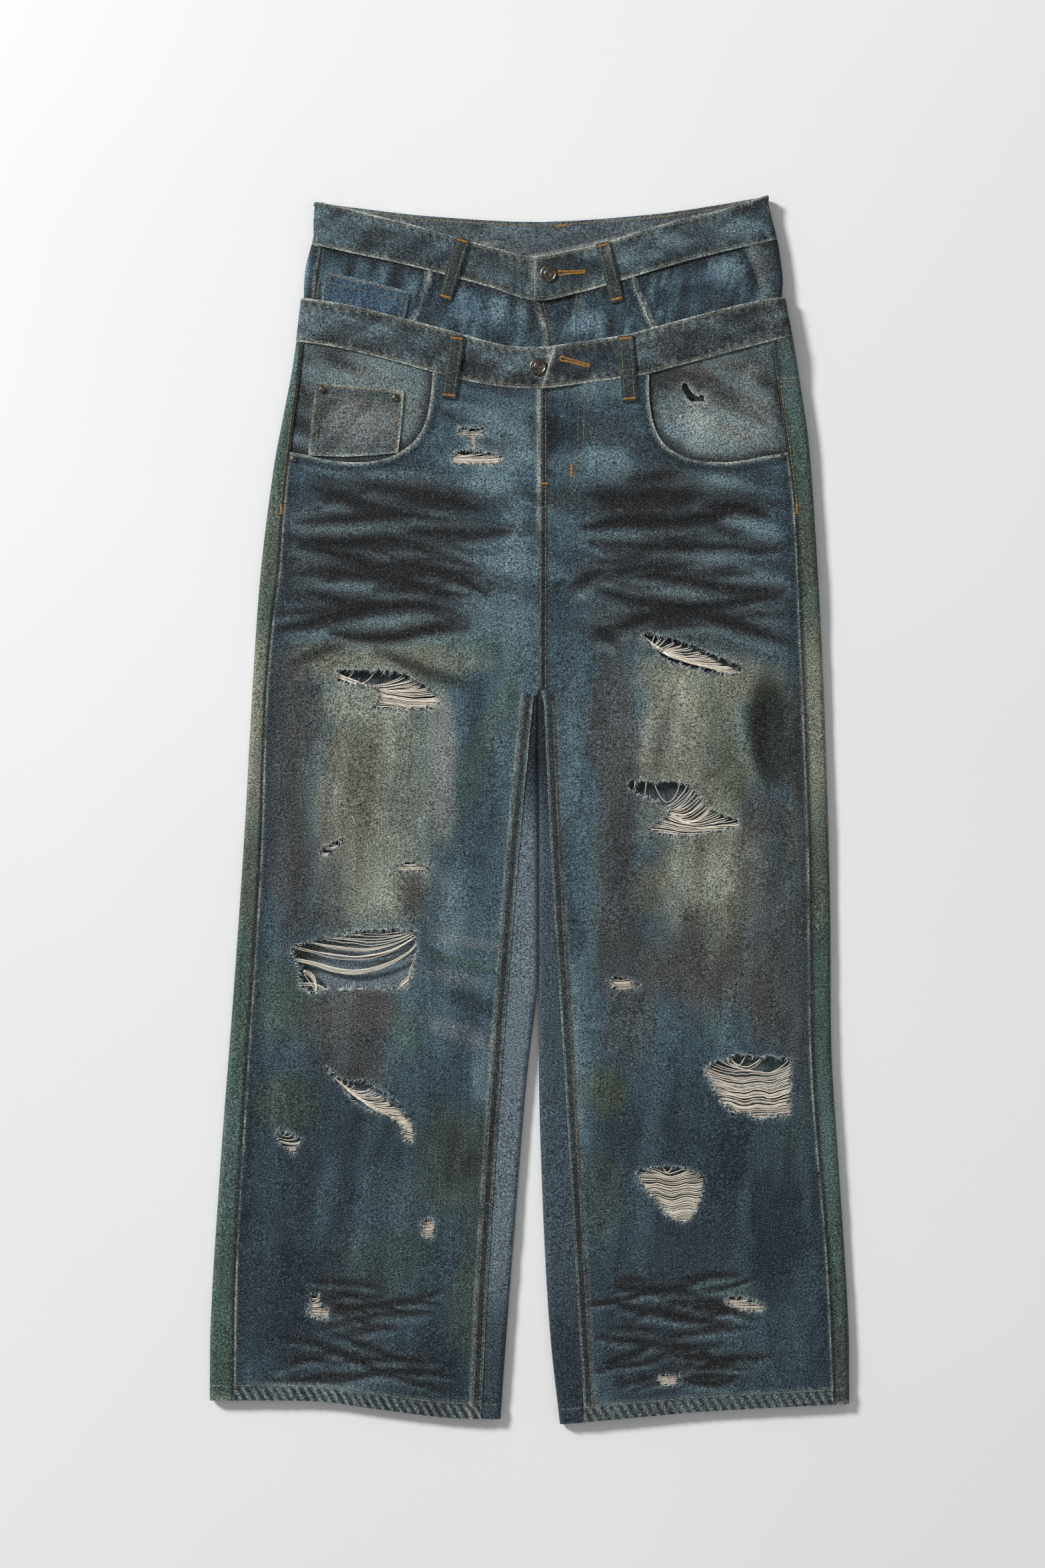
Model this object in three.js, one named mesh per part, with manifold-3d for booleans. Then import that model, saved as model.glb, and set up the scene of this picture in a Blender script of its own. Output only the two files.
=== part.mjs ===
// Ripped jeans with a double waist, lying flat on their back. Millimetres, +Z up off the surface.
// +Y runs from the hems to the waist and +X is the wearer's left. While the pieces are drawn, X = 0 is the
// centre front and Y = 0 is the lowest point of the hems. The whole garment is centred at the end.
import * as THREE from 'three';
import { mergeVertices } from 'three/addons/utils/BufferGeometryUtils.js';
import Module from 'manifold-3d';

const wasm = await Module();
wasm.setup();

// ---- Driving dimensions ----
const CLOTH = 1.2; // one ply of heavy denim
const BAND = 2.4; // two plies with their turnings
const LOOP = 1.8; // a belt loop's folded strip
const GAP = 0.3; // clearance between sewn pieces
const CURVE_GAP = 1; // the same along a curved waist seam, whose facets differ on its two sides
const LAYER = CLOTH + GAP; // step from one ply down to the ply beneath it
const CROTCH = 660; // height of the crotch point above the hems
const LEG_ROUND = 5; // how far a leg's side fold reaches in from its edge
const LOWER_ROUND = 8; // the same for the lower waistband
const UPPER_ROUND = LOWER_ROUND - BAND / 2 - GAP - CLOTH / 2; // nested inside the lower waistband
const RISE_X = -2; // the centre front seam
const SEAT_X = -2.45; // the centre back seam

// Middle heights of the cloth above the surface.
const LEG_FRONT = 8.2;
const SEAT_FRONT = 10.4;
const LOWER_FRONT = 15.3;
const STRIP_FRONT_INSIDE = LOWER_FRONT - BAND / 2 - GAP - CLOTH / 2;
const UPPER_FRONT = 11.6;
const WAIST_LIFT = 2.2; // the back waist lies on its belt loops
const POCKET_LIFT = 1.5; // the seat lies on its back pockets
const BAND_BACK = WAIST_LIFT + BAND / 2;
const STRIP_BACK_INSIDE = WAIST_LIFT + BAND + GAP + CLOTH / 2;
const LAP = BAND + GAP; // how far a lapped waistband end rises

// ---- Curves through a few points ----
function smooth(points) {
  const slope = points.map((point, i) => {
    const before = points[Math.max(i - 1, 0)];
    const after = points[Math.min(i + 1, points.length - 1)];
    return (after[1] - before[1]) / (after[0] - before[0]);
  });
  return (t) => {
    const last = points.length - 2;
    const found = points.findIndex((point, i) => i <= last && t < points[i + 1][0]);
    const i = found < 0 ? last : found;
    const [t0, v0] = points[i];
    const [t1, v1] = points[i + 1];
    const span = t1 - t0;
    const s = THREE.MathUtils.clamp((t - t0) / span, 0, 1);
    const rise = v0 * (1 + 2 * s) * (1 - s) ** 2 + v1 * s * s * (3 - 2 * s);
    return rise + span * (slope[i] * s * (1 - s) ** 2 - slope[i + 1] * s * s * (1 - s));
  };
}

const ramp = (from, to, t) => THREE.MathUtils.smoothstep(t, from, to);
const mix = THREE.MathUtils.lerp;

// Side edges, seams and folds: X for a height Y, hem to waist.
const right = {
  side: -1,
  edge: smooth([[18, -299], [95, -298], [239, -289], [383, -278], [527, -268], [671, -260], [767, -253],
    [863, -241], [911, -232], [959, -223], [1015, -216]]),
  outseam: smooth([[23, -277], [143, -275], [323, -264.7], [503, -253], [650, -248], [722, -242], [767, -236],
    [835, -231], [878, -226], [941, -218], [975, -214]]),
  fold: smooth([[0, -37], [71, -32], [167, -24.6], [311, -13], [390, -3.6], [410, -2.9], [CROTCH, -2.9]]),
  inseam: smooth([[5, -54], [143, -47], [311, -36], [503, -21], [CROTCH, -6.5]]),
  hem: smooth([[-299, 21.6], [-247, 22], [-196, 20.6], [-138, 12.8], [-79, 6], [-37, 5]]),
};
const left = {
  side: 1,
  edge: smooth([[18, 278], [95, 277], [239, 268], [335, 262], [479, 260.5], [671, 254.5], [815, 246.6],
    [887, 241], [935, 234], [980, 226.6], [1015, 220]]),
  outseam: smooth([[34, 263], [143, 258], [323, 244], [515, 241], [767, 231], [824, 228], [871, 222.5],
    [943, 212], [980, 207]]),
  fold: smooth([[0, 17], [71, 9], [143, 4], [235, 0], [300, -1.9], [320, -2], [CROTCH, -2]]),
  inseam: smooth([[14, 38.4], [143, 30.6], [311, 21], [503, 9], [CROTCH, 2]]),
  hem: smooth([[16, 0], [80, 6], [150, 12], [222, 16], [278, 18.6]]),
};
right.bandEdge = smooth([[940, -224], [975, -221], [1014.6, -216.6]]);
left.bandEdge = smooth([[940, 233], [980, 226.6], [1015.4, 220]]);
right.upperEdge = smooth([[940, -220], [975, -218], [1005, -214.6], [1018, -213.8], [1030, -213.6],
  [1044, -212], [1063, -207], [1087, -202], [1101, -198]]);
left.upperEdge = smooth([[940, 229], [980, 223.6], [1005, 218.7], [1018, 217], [1030, 217.8],
  [1044, 216.5], [1067, 213], [1087, 208], [1107, 203.4]]);
right.upperSeam = smooth([[940, -206], [1017, -204], [1063, -198]]);
left.upperSeam = smooth([[940, 207], [1017, 200], [1040, 194], [1059, 185], [1068, 181]]);

// Waistband edges and seams: Y for a place X across the garment.
const lowerTop = smooth([[-217, 1014.6], [-173, 1008], [-133, 998], [-86, 986], [-49, 975.5], [-24, 970.5],
  [5, 970.5], [44, 976], [78, 981.6], [106, 989], [152, 1001.5], [192, 1011], [220, 1015.4]]);
const lowerBottom = smooth([[-221, 975], [-189, 970.5], [-142, 959.6], [-96, 947], [-49, 936], [0, 932.5],
  [44, 938], [87, 944], [137, 956.6], [183, 969], [226.6, 980]]);
const upperTop = smooth([[-198, 1100.6], [-158, 1091], [-118, 1081], [-80, 1070], [-43, 1060], [-7.4, 1052],
  [34, 1059], [59, 1065], [87, 1074], [121, 1084], [152, 1091], [183, 1100], [203, 1107]]);
const upperBottom = smooth([[-207, 1063], [-167, 1054], [-127, 1045.5], [-89.5, 1036], [-49, 1025],
  [-4, 1012], [37.5, 1020], [75, 1031], [121, 1045], [168, 1057], [213, 1067.5]]);
const lowerBackTop = smooth([[-217, 1014.6], [-110, 1006], [0, 1003], [110, 1007], [220, 1015.4]]);
const lowerBackBottom = smooth([[-221, 975], [-110, 966], [0, 963], [110, 968], [226.6, 980]]);
const upperBackTop = smooth([[-198, 1100.6], [-142, 1093.5], [-92.6, 1088.4], [0, 1084], [105.7, 1091.4],
  [167.7, 1100.6], [203.4, 1107]]);
const upperBackBottom = smooth([[-207, 1063], [-142, 1055], [-92.6, 1050], [0, 1045], [105.7, 1052.5],
  [167.7, 1061], [213, 1067.5]]);
const YOKE_SIDE = 941;
const YOKE_CENTRE = 905;
const YOKE_REACH = 236; // half the width across which the yoke's seam rises
const yokeSeam = (x) => YOKE_CENTRE + ((YOKE_SIDE - YOKE_CENTRE) * Math.abs(x - SEAT_X)) / YOKE_REACH;

// ---- The largest folds: soft ridges between two points, as [x, y, x, y, height, reach] ----
const RIDGES = [
  [-215, 800, -60, 842, 2.2, 20],
  [-230, 712, -90, 740, 2.0, 18],
  [-60, 620, -105, 480, 1.6, 24],
  [-240, 490, -215, 340, 1.8, 22],
  [-60, 400, -120, 300, 1.6, 24],
  [-235, 210, -150, 150, 1.8, 22],
  [-245, 92, -110, 60, 2.2, 20],
  [45, 824, 180, 845, 2.2, 20],
  [50, 742, 215, 748, 2.2, 18],
  [92, 680, 84, 560, 1.8, 16],
  [146, 665, 132, 540, 1.8, 16],
  [206, 560, 192, 340, 1.8, 20],
  [60, 330, 120, 260, 1.6, 24],
  [70, 130, 170, 92, 2.0, 20],
  [60, 62, 205, 58, 2.0, 20],
];

function folds(x, y) {
  return RIDGES.reduce((sum, [x0, y0, x1, y1, height, reach]) => {
    const along = new THREE.Vector2(x1 - x0, y1 - y0);
    const from = new THREE.Vector2(x - x0, y - y0);
    const t = THREE.MathUtils.clamp(from.dot(along) / along.lengthSq(), 0, 1);
    const distance = from.sub(along.multiplyScalar(t)).length();
    return sum + height * Math.exp(-((distance / reach) ** 2));
  }, 0);
}

// ---- Heights of the layers ----
const seatLift = smooth([[0, 0], [700, 0], [722, 0], [736, POCKET_LIFT], [897, POCKET_LIFT], [915, WAIST_LIFT],
  [960, WAIST_LIFT], [1110, WAIST_LIFT]]);

function legFront(x, y) {
  const leg = mix(LEG_FRONT, SEAT_FRONT, ramp(690, 770, y));
  const toBand = ramp(lowerBottom(x) - 52, lowerBottom(x) - 4, y);
  return mix(leg + folds(x, y), LOWER_FRONT, toBand);
}

function legBack(x, y) {
  return CLOTH / 2 + THREE.MathUtils.clamp(seatLift(y), 0, WAIST_LIFT);
}

const stripFront = (x, y) => mix(STRIP_FRONT_INSIDE, UPPER_FRONT, ramp(2, 16, y - lowerTop(x)));
const stripBack = (x, y) => mix(STRIP_BACK_INSIDE, BAND_BACK, ramp(2, 20, y - lowerBackTop(x)));

// ---- Cloth walls ----
// A column is a line along the garment. x(y) is its place across, and turn is how far it has gone round the
// side: 0 on the front, 180 on the back. lift raises it.
const column = (x, turn, lift = 0) => ({ x, turn, lift });

function roundSide(side, edge, thickness, reach, turns) {
  return turns.map((turn) => {
    const inset = 1 - Math.sin(THREE.MathUtils.degToRad(turn));
    return column((y) => edge(y) - side * (thickness / 2 + reach(y) * inset), turn);
  });
}

// Points of a cloth's middle surface. front and back each give its height above the floor and, for a column,
// the Y of each row. A column part way round the side lies between the two.
function surface(columns, front, back = front) {
  return columns.map(({ x, turn, lift }) => {
    const share = (1 - Math.cos(THREE.MathUtils.degToRad(turn))) / 2;
    const behind = back.rows(x);
    return front.rows(x).map((row, j) => {
      const y = mix(row, behind[j], share);
      const height = mix(front.height(x(y), y), back.height(x(y), y), share);
      return new THREE.Vector3(x(y), y, height + lift);
    });
  });
}

// Rows that are stretched below one bend and above another, to meet curved ends.
function stretched(rows, low, high, [lowBend, highBend]) {
  const [first, last] = [rows[0], rows[rows.length - 1]];
  return rows.map((row) => {
    if (row < lowBend) return mix(low, lowBend, (row - first) / (lowBend - first));
    if (row > highBend) return mix(highBend, high, (row - highBend) / (last - highBend));
    return row;
  });
}

// Where a column meets a seam that runs across the garment.
function meet(x, seam, guess) {
  let y = guess;
  for (let step = 0; step < 5; step += 1) {
    y = seam(x(y));
  }
  return y;
}

const spread = (low, high, cells) => Array.from({ length: cells + 1 }, (unused, i) => mix(low, high, i / cells));

function normals(points) {
  return points.map((column, i) => column.map((point, j) => {
    const across = points[Math.min(i + 1, points.length - 1)][j].clone()
      .sub(points[Math.max(i - 1, 0)][j]);
    const along = column[Math.min(j + 1, column.length - 1)].clone().sub(column[Math.max(j - 1, 0)]);
    return across.cross(along).normalize();
  }));
}

// A closed wall of the given thickness about the points. keep(i, j) leaves cells out, and drop lowers it.
function wall(points, thickness, keep = () => true, drop = 0) {
  const outward = normals(points);
  const rows = points[0].length;
  const position = [];
  for (const side of [1, -1]) {
    points.forEach((column, i) => column.forEach((point, j) => {
      const moved = point.clone().addScaledVector(outward[i][j], (side * thickness) / 2);
      position.push(moved.x, moved.y, moved.z - drop);
    }));
  }
  const inner = points.length * rows;
  const index = [];
  const quad = (a, b, c, d) => index.push(a, b, c, a, c, d);
  const kept = (i, j) => i >= 0 && j >= 0 && i < points.length - 1 && j < rows - 1 && keep(i, j);
  const at = (i, j) => i * rows + j;
  for (let i = 0; i < points.length - 1; i += 1) {
    for (let j = 0; j < rows - 1; j += 1) {
      if (!kept(i, j)) continue;
      const [a, b, c, d] = [at(i, j), at(i + 1, j), at(i + 1, j + 1), at(i, j + 1)];
      quad(a, b, c, d);
      quad(inner + a, inner + d, inner + c, inner + b);
      if (!kept(i, j - 1)) quad(b, a, inner + a, inner + b);
      if (!kept(i + 1, j)) quad(c, b, inner + b, inner + c);
      if (!kept(i, j + 1)) quad(d, c, inner + c, inner + d);
      if (!kept(i - 1, j)) quad(a, d, inner + d, inner + a);
    }
  }
  const geometry = new THREE.BufferGeometry();
  geometry.setAttribute('position', new THREE.Float32BufferAttribute(position, 3));
  geometry.setIndex(index);
  return geometry;
}

// ---- Cutting with outlines seen from above ----
function toManifold(geometry) {
  const bare = geometry.clone();
  bare.deleteAttribute('normal');
  bare.deleteAttribute('uv');
  const merged = mergeVertices(bare, 1e-4);
  return new wasm.Manifold(new wasm.Mesh({
    numProp: 3,
    vertProperties: new Float32Array(merged.attributes.position.array),
    triVerts: new Uint32Array(merged.index.array),
  }));
}

function fromManifold(solid) {
  const mesh = solid.getMesh();
  const geometry = new THREE.BufferGeometry();
  geometry.setAttribute('position', new THREE.BufferAttribute(new Float32Array(mesh.vertProperties), 3));
  geometry.setIndex(new THREE.BufferAttribute(new Uint32Array(mesh.triVerts), 1));
  return geometry;
}

function plate(outline, low, high) {
  const shape = new THREE.Shape(outline.map(([x, y]) => new THREE.Vector2(x, y)));
  const geometry = new THREE.ExtrudeGeometry(shape, { depth: high - low, bevelEnabled: false });
  return geometry.translate(0, 0, low);
}

const ABOVE_ALL = 60;
const prism = (outline) => toManifold(plate(outline, -ABOVE_ALL, ABOVE_ALL));

function cut(geometry, outlines) {
  return fromManifold(outlines.reduce((solid, outline) => solid.subtract(prism(outline)), toManifold(geometry)));
}

const trim = (geometry, outline) => fromManifold(toManifold(geometry).intersect(prism(outline)));

// ---- Meshes ----
const denim = (color) => new THREE.MeshStandardMaterial({ color, roughness: 0.9, metalness: 0 });
const MID_BLUE = denim(0x515d65);
const DARK_BLUE = denim(0x3b4245);
const GREEN_BLUE = denim(0x4a5558);
const PALE_BLUE = denim(0x868a89);
const GUNMETAL = new THREE.MeshStandardMaterial({ color: 0x3a3836, roughness: 0.4, metalness: 1 });

const jeans = new THREE.Group();

function add(name, geometry, material) {
  const mesh = new THREE.Mesh(geometry, material);
  mesh.name = name;
  mesh.geometry.computeVertexNormals();
  jeans.add(mesh);
  return mesh;
}

// ---- Fronts, with their rips and pocket openings ----
// Fronts and backs share their rows, so that their seams run side by side.
const LEG_CELLS = 16;
const legRows = [...spread(0, CROTCH, LEG_CELLS), 680, 702, 722, 736, 762, 788, 814, 840, 858, 878, 897, 915,
  YOKE_SIDE];
const BENDS = [legRows[2], 897];

const POCKET_OPENING = {
  right: [[-97, 975], [-97.5, 947], [-100, 921], [-104, 903.6], [-111, 890], [-121.5, 879.6], [-137, 871],
    [-152.5, 867.6], [-173, 866.7], [-196, 869.4], [-213, 873.6], [-229.5, 877], [-229.5, 985]],
  left: [[97, 975], [97, 947], [97.5, 920], [102, 899], [111, 883], [125, 873.5], [139, 868.5], [165.6, 866.7],
    [183, 868.5], [201, 872], [227, 877.5], [227, 990]],
};

const RIPS = {
  right: [
    [[-185, 680], [-124, 677], [-104, 668], [-93, 656], [-93, 646], [-153, 644], [-145, 664], [-185, 670]],
    [[-227, 427], [-218, 434], [-190, 440], [-167, 445], [-133, 447], [-113, 443], [-112, 425], [-115, 406],
      [-120, 392], [-156, 393], [-193, 393], [-201, 387], [-218, 395], [-218, 410]],
    [[-194, 321], [-181, 311], [-160, 310], [-145, 301], [-131, 292], [-122, 281], [-116, 267], [-116, 256],
      [-122, 256], [-125, 271], [-137, 279], [-154, 284], [-169, 294], [-181, 306]],
    [[-81, 877], [-33, 876], [-34, 866], [-80, 865]],
    [[-132, 504], [-104, 506], [-103, 498], [-131, 497]],
    [[-239, 262], [-216, 262], [-226, 244]],
  ],
  left: [
    [[91, 713], [116, 709], [146, 699], [180, 685], [180, 676], [164, 675], [146, 679], [118, 685], [110, 691],
      [101, 701]],
    [[78, 580], [116, 580], [133, 577], [144, 565], [149, 556], [179, 544], [179, 537], [144, 531],
      [110, 530], [98, 537], [116, 548], [115, 556], [91, 567]],
    [[148, 325], [166, 329], [178, 335], [225, 330], [224, 278], [193, 275], [180, 280], [172, 278],
      [162, 290], [154, 302]],
    [[85, 228], [102, 232], [117, 234], [135, 228], [147, 219], [143, 206], [135, 184], [112, 187], [97, 207]],
    [[164, 113], [201, 110], [200, 102], [165, 105]],
  ],
};

const FRONT_COLUMNS = 9;
const HEM = 10; // rough heights, from which a column finds where it meets a seam
const WAIST = 945;

function frontSurface(leg) {
  const outer = (y) => leg.outseam(y) - (leg.side * GAP) / 2;
  const rise = RISE_X + (leg.side * GAP) / 2;
  const inner = (y) => (y > CROTCH + 1 ? rise : leg.inseam(y) + (leg.side * GAP) / 2);
  const columns = spread(0, 1, FRONT_COLUMNS).map((u) => column((y) => mix(inner(y), outer(y), u), 0));
  const rows = (x) => stretched(
    legRows,
    meet(x, leg.hem, HEM),
    meet(x, lowerBottom, WAIST) - CURVE_GAP,
    BENDS,
  );
  return surface(columns, { height: legFront, rows });
}

const legs = Object.entries({ right, left });
const frontPoints = { right: frontSurface(right), left: frontSurface(left) };
for (const [hand] of legs) {
  const whole = wall(frontPoints[hand], CLOTH);
  add(`front_${hand}`, cut(whole, [POCKET_OPENING[hand], ...RIPS[hand]]), MID_BLUE);
}

// ---- Pocket facings, one ply down under the openings and a little way behind the fronts ----
const FACING = {
  right: [[-88, 980], [-90, 915], [-100, 882], [-125, 862], [-165, 854], [-229, 862], [-229, 985]],
  left: [[88, 980], [89, 915], [98, 878], [125, 860], [165, 854], [226, 862], [226, 990]],
};
const nearPocket = (points) => (i, j) => points[i][j].y > 800;
for (const [hand] of legs) {
  const whole = wall(frontPoints[hand], CLOTH, nearPocket(frontPoints[hand]), LAYER);
  add(`facing_lower_${hand}`, trim(whole, FACING[hand]), PALE_BLUE);
}

const COIN_LOWER = [[-203, 939], [-123.6, 930.6], [-124.5, 884], [-137, 875.5], [-152.5, 871.5], [-173, 870.5],
  [-196, 873.5], [-209, 877]];
const coinCloth = wall(frontPoints.right, CLOTH, nearPocket(frontPoints.right));
add('coin_pocket_lower', trim(coinCloth, COIN_LOWER), MID_BLUE);

// ---- Backs: a strip beside the outseam, the side fold, the underside, the inner fold and a strip ----
const LEG_TURNS = [0, 45, 90, 135, 180];
const outerReach = () => LEG_ROUND;
const innerReach = (y) => mix(LEG_ROUND, 0.8, ramp(560, CROTCH, y));
const seatX = (side) => SEAT_X + (side * GAP) / 2;
const FOLD_COLUMN = LEG_TURNS.length + 2; // where the inner fold leaves the underside

function backSurface(leg) {
  const outer = (y) => leg.outseam(y) + (leg.side * GAP) / 2;
  const inner = (y) => leg.inseam(y) - (leg.side * GAP) / 2;
  const fold = roundSide(-leg.side, leg.fold, CLOTH, innerReach, LEG_TURNS).reverse();
  const underFold = fold[0].x;
  fold[0] = column((y) => (y > CROTCH + 1 ? seatX(leg.side) : underFold(y)), 180);
  const columns = [
    column(outer, 0),
    ...roundSide(leg.side, leg.edge, CLOTH, outerReach, LEG_TURNS),
    column((y) => (leg.edge(y) + leg.fold(y)) / 2, 180),
    ...fold,
    column(inner, 0),
  ];
  const rows = (top) => (x) => stretched(
    legRows,
    meet(x, leg.hem, HEM),
    meet(x, top, WAIST) - GAP / 2,
    BENDS,
  );
  return surface(
    columns,
    { height: legFront, rows: rows(() => YOKE_SIDE) },
    { height: legBack, rows: rows(yokeSeam) },
  );
}

for (const [hand, leg] of legs) {
  const keep = (i, j) => i < FOLD_COLUMN || legRows[j + 1] <= CROTCH;
  add(`back_${hand}`, wall(backSurface(leg), CLOTH, keep), MID_BLUE);
}

// ---- Yokes, between the backs and the lower waistband ----
const UNDER_STATIONS = [168, 113, 56]; // columns across the underside of the back waist
const YOKE_CELLS = 3;

for (const [hand, leg] of legs) {
  const columns = [
    column((y) => leg.outseam(y) + (leg.side * GAP) / 2, 0),
    ...roundSide(leg.side, leg.edge, CLOTH, outerReach, LEG_TURNS),
    ...UNDER_STATIONS.map((x) => column(() => leg.side * x, 180)),
    column(() => seatX(leg.side), 180),
  ];
  const rows = (low, high) => (x) => spread(
    meet(x, low, WAIST) + GAP / 2,
    meet(x, high, WAIST) - CURVE_GAP,
    YOKE_CELLS,
  );
  const points = surface(
    columns,
    { height: legFront, rows: rows(() => YOKE_SIDE, lowerBottom) },
    { height: legBack, rows: rows(yokeSeam, lowerBackBottom) },
  );
  add(`yoke_${hand}`, wall(points, CLOTH), MID_BLUE);
}

// ---- Waistbands: one strip right round, whose left end laps over its right end ----
const BAND_TURNS = [0, 30, 60, 90, 120, 150, 180];
const BACK_STATIONS = [...UNDER_STATIONS.map((x) => -x), 0, ...UNDER_STATIONS.toReversed()];
const FRONT_STATIONS = [182, 157, 132, 107, 85, 64, 44, 20];
const UNDERLAP_X = 16; // where the covered right end stops
const lapRise = (x) => LAP * (1 - ramp(20, 44, x));

function waistband({ edges, reach, frontHeight, tops, bottoms, readAt, lapEnd }) {
  const columns = [
    column(() => UNDERLAP_X, 0),
    ...FRONT_STATIONS.map((x) => column(() => -x, 0)).reverse(),
    ...roundSide(-1, edges[0], BAND, () => reach, BAND_TURNS),
    ...BACK_STATIONS.map((x) => column(() => x, 180)),
    ...roundSide(1, edges[1], BAND, () => reach, BAND_TURNS).reverse(),
    ...[...FRONT_STATIONS, lapEnd].map((x) => column(() => x, 0, lapRise(x))),
  ];
  const rows = (side) => (x) => [meet(x, bottoms[side], readAt), meet(x, tops[side], readAt)];
  const points = surface(
    columns,
    { height: () => frontHeight, rows: rows(0) },
    { height: () => BAND_BACK, rows: rows(1) },
  );
  return wall(points, BAND);
}

add('waistband_lower', waistband({
  edges: [right.bandEdge, left.bandEdge],
  reach: LOWER_ROUND,
  frontHeight: LOWER_FRONT,
  tops: [lowerTop, lowerBackTop],
  bottoms: [lowerBottom, lowerBackBottom],
  readAt: 995,
  lapEnd: 6.2,
}), DARK_BLUE);

add('waistband_upper', waistband({
  edges: [right.upperEdge, left.upperEdge],
  reach: UPPER_ROUND,
  frontHeight: UPPER_FRONT,
  tops: [upperTop, upperBackTop],
  bottoms: [upperBottom, upperBackBottom],
  readAt: 1082,
  lapEnd: -6,
}), GREEN_BLUE);

// ---- The upper strip: from the lower waistband's lower seam, inside it, up to the upper waistband ----
const STRIP = 1015;
const STRIP_COLUMNS = 8;
const FLY_X = smooth([[930, 3], [985, 3], [1012, -4], [1060, -5]]);

// Rows closer together where the strip comes out over the lower waistband's edge.
const stripRows = (low, edge, high) => (x) => {
  const bottom = meet(x, low, STRIP) + CURVE_GAP;
  const over = meet(x, edge, STRIP);
  const top = meet(x, high, STRIP) - CURVE_GAP;
  return [bottom, mix(bottom, over, 0.5), over + 2, over + 9, over + 18, top];
};
const frontStrip = { height: stripFront, rows: stripRows(lowerBottom, lowerTop, upperBottom) };
const backStrip = { height: stripBack, rows: stripRows(lowerBackBottom, lowerBackTop, upperBackBottom) };

const UPPER_OPENING = {
  right: [[-102, 1090], [-102, 1033], [-108, 1012], [-116, 994], [-128, 981], [-148, 975], [-175, 977],
    [-230, 984], [-230, 1090]],
  left: [[84, 1090], [84, 1028], [92, 1009], [99.5, 991], [112, 979], [132, 974], [165, 977], [230, 990],
    [230, 1090]],
};
const UPPER_FACING = {
  right: [[-92, 1090], [-93, 1030], [-102, 990], [-118, 972], [-145, 966], [-175, 969], [-230, 975],
    [-230, 1090]],
  left: [[74, 1090], [75, 1025], [87, 987], [105, 970], [135, 966], [165, 969], [230, 980], [230, 1090]],
};
const COIN_UPPER = [[-195, 1039], [-117.5, 1020], [-124, 1001], [-133, 989], [-150, 982], [-178, 983],
  [-197, 988]];

for (const [hand, leg] of legs) {
  const fly = (y) => FLY_X(y) + (leg.side * GAP) / 2;
  const seam = (y) => leg.upperSeam(y) - (leg.side * GAP) / 2;
  const columns = spread(0, 1, STRIP_COLUMNS).map((u) => column((y) => mix(fly(y), seam(y), u), 0));
  const points = surface(columns, frontStrip);
  add(`upper_front_${hand}`, cut(wall(points, CLOTH), [UPPER_OPENING[hand]]), GREEN_BLUE);
  add(`facing_upper_${hand}`, trim(wall(points, CLOTH, undefined, LAYER), UPPER_FACING[hand]), PALE_BLUE);
  if (leg === right) {
    add('coin_pocket_upper', trim(wall(points, CLOTH), COIN_UPPER), GREEN_BLUE);
  }
  const backs = [
    column((y) => leg.upperSeam(y) + (leg.side * GAP) / 2, 0),
    ...roundSide(leg.side, leg.upperEdge, CLOTH, () => UPPER_ROUND, BAND_TURNS),
    ...UNDER_STATIONS.map((x) => column(() => leg.side * x, 180)),
    column(() => seatX(leg.side), 180),
  ];
  add(`upper_back_${hand}`, wall(surface(backs, frontStrip, backStrip), CLOTH), GREEN_BLUE);
}

// ---- Belt loops ----
const LOOP_STEPS = 8;

// A strip from its top to its bottom end, over a waistband and down onto the cloth below it.
function beltLoop(name, [topX, topY], [bottomX, bottomY], width, band, bandEdge, below) {
  const along = new THREE.Vector2(topX - bottomX, topY - bottomY);
  const across = new THREE.Vector2(along.y, -along.x).setLength(width / 2);
  const points = [-1, 1].map((side) => spread(0, 1, LOOP_STEPS).map((t) => {
    const [x, y] = [mix(bottomX, topX, t), mix(bottomY, topY, t)];
    const beneath = mix(below(x, y) + CLOTH / 2, band, ramp(bandEdge(x) - 16, bandEdge(x) - 4, y));
    return new THREE.Vector3(x + side * across.x, y + side * across.y, beneath + GAP + LOOP / 2);
  }));
  add(name, wall(points, LOOP), GREEN_BLUE);
}

const lowerLoop = [LOWER_FRONT + BAND / 2, lowerBottom, (x, y) => legFront(x, y)];
const upperLoop = [UPPER_FRONT + BAND / 2, upperBottom, stripFront];
beltLoop('loop_lower_right', [-75.6, 980], [-83.4, 924], 13.5, ...lowerLoop);
beltLoop('loop_lower_left', [75.6, 980], [79.5, 921], 13.5, ...lowerLoop);
beltLoop('loop_upper_right', [-70, 1068], [-87, 1013], 12, ...upperLoop);
beltLoop('loop_upper_left', [55, 1064], [68.6, 1011], 12, ...upperLoop);

const BACK_LOOP_WIDTH = 12;
const BACK_LOOP_OVER = 5; // how far a hidden loop passes the waistband's edges
const BACK_LOOP_PLACES = { right: -118, centre: 0, left: 118 };
const backBands = { lower: [lowerBackBottom, lowerBackTop], upper: [upperBackBottom, upperBackTop] };
for (const [level, [bottom, top]] of Object.entries(backBands)) {
  for (const [place, x] of Object.entries(BACK_LOOP_PLACES)) {
    const geometry = new THREE.BoxGeometry(
      BACK_LOOP_WIDTH,
      top(x) - bottom(x) + 2 * BACK_LOOP_OVER * (level === 'lower' ? 1 : 0),
      WAIST_LIFT - GAP,
    );
    geometry.translate(x, (top(x) + bottom(x)) / 2, (WAIST_LIFT - GAP) / 2);
    add(`loop_${level}_back_${place}`, geometry, GREEN_BLUE);
  }
}

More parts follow.
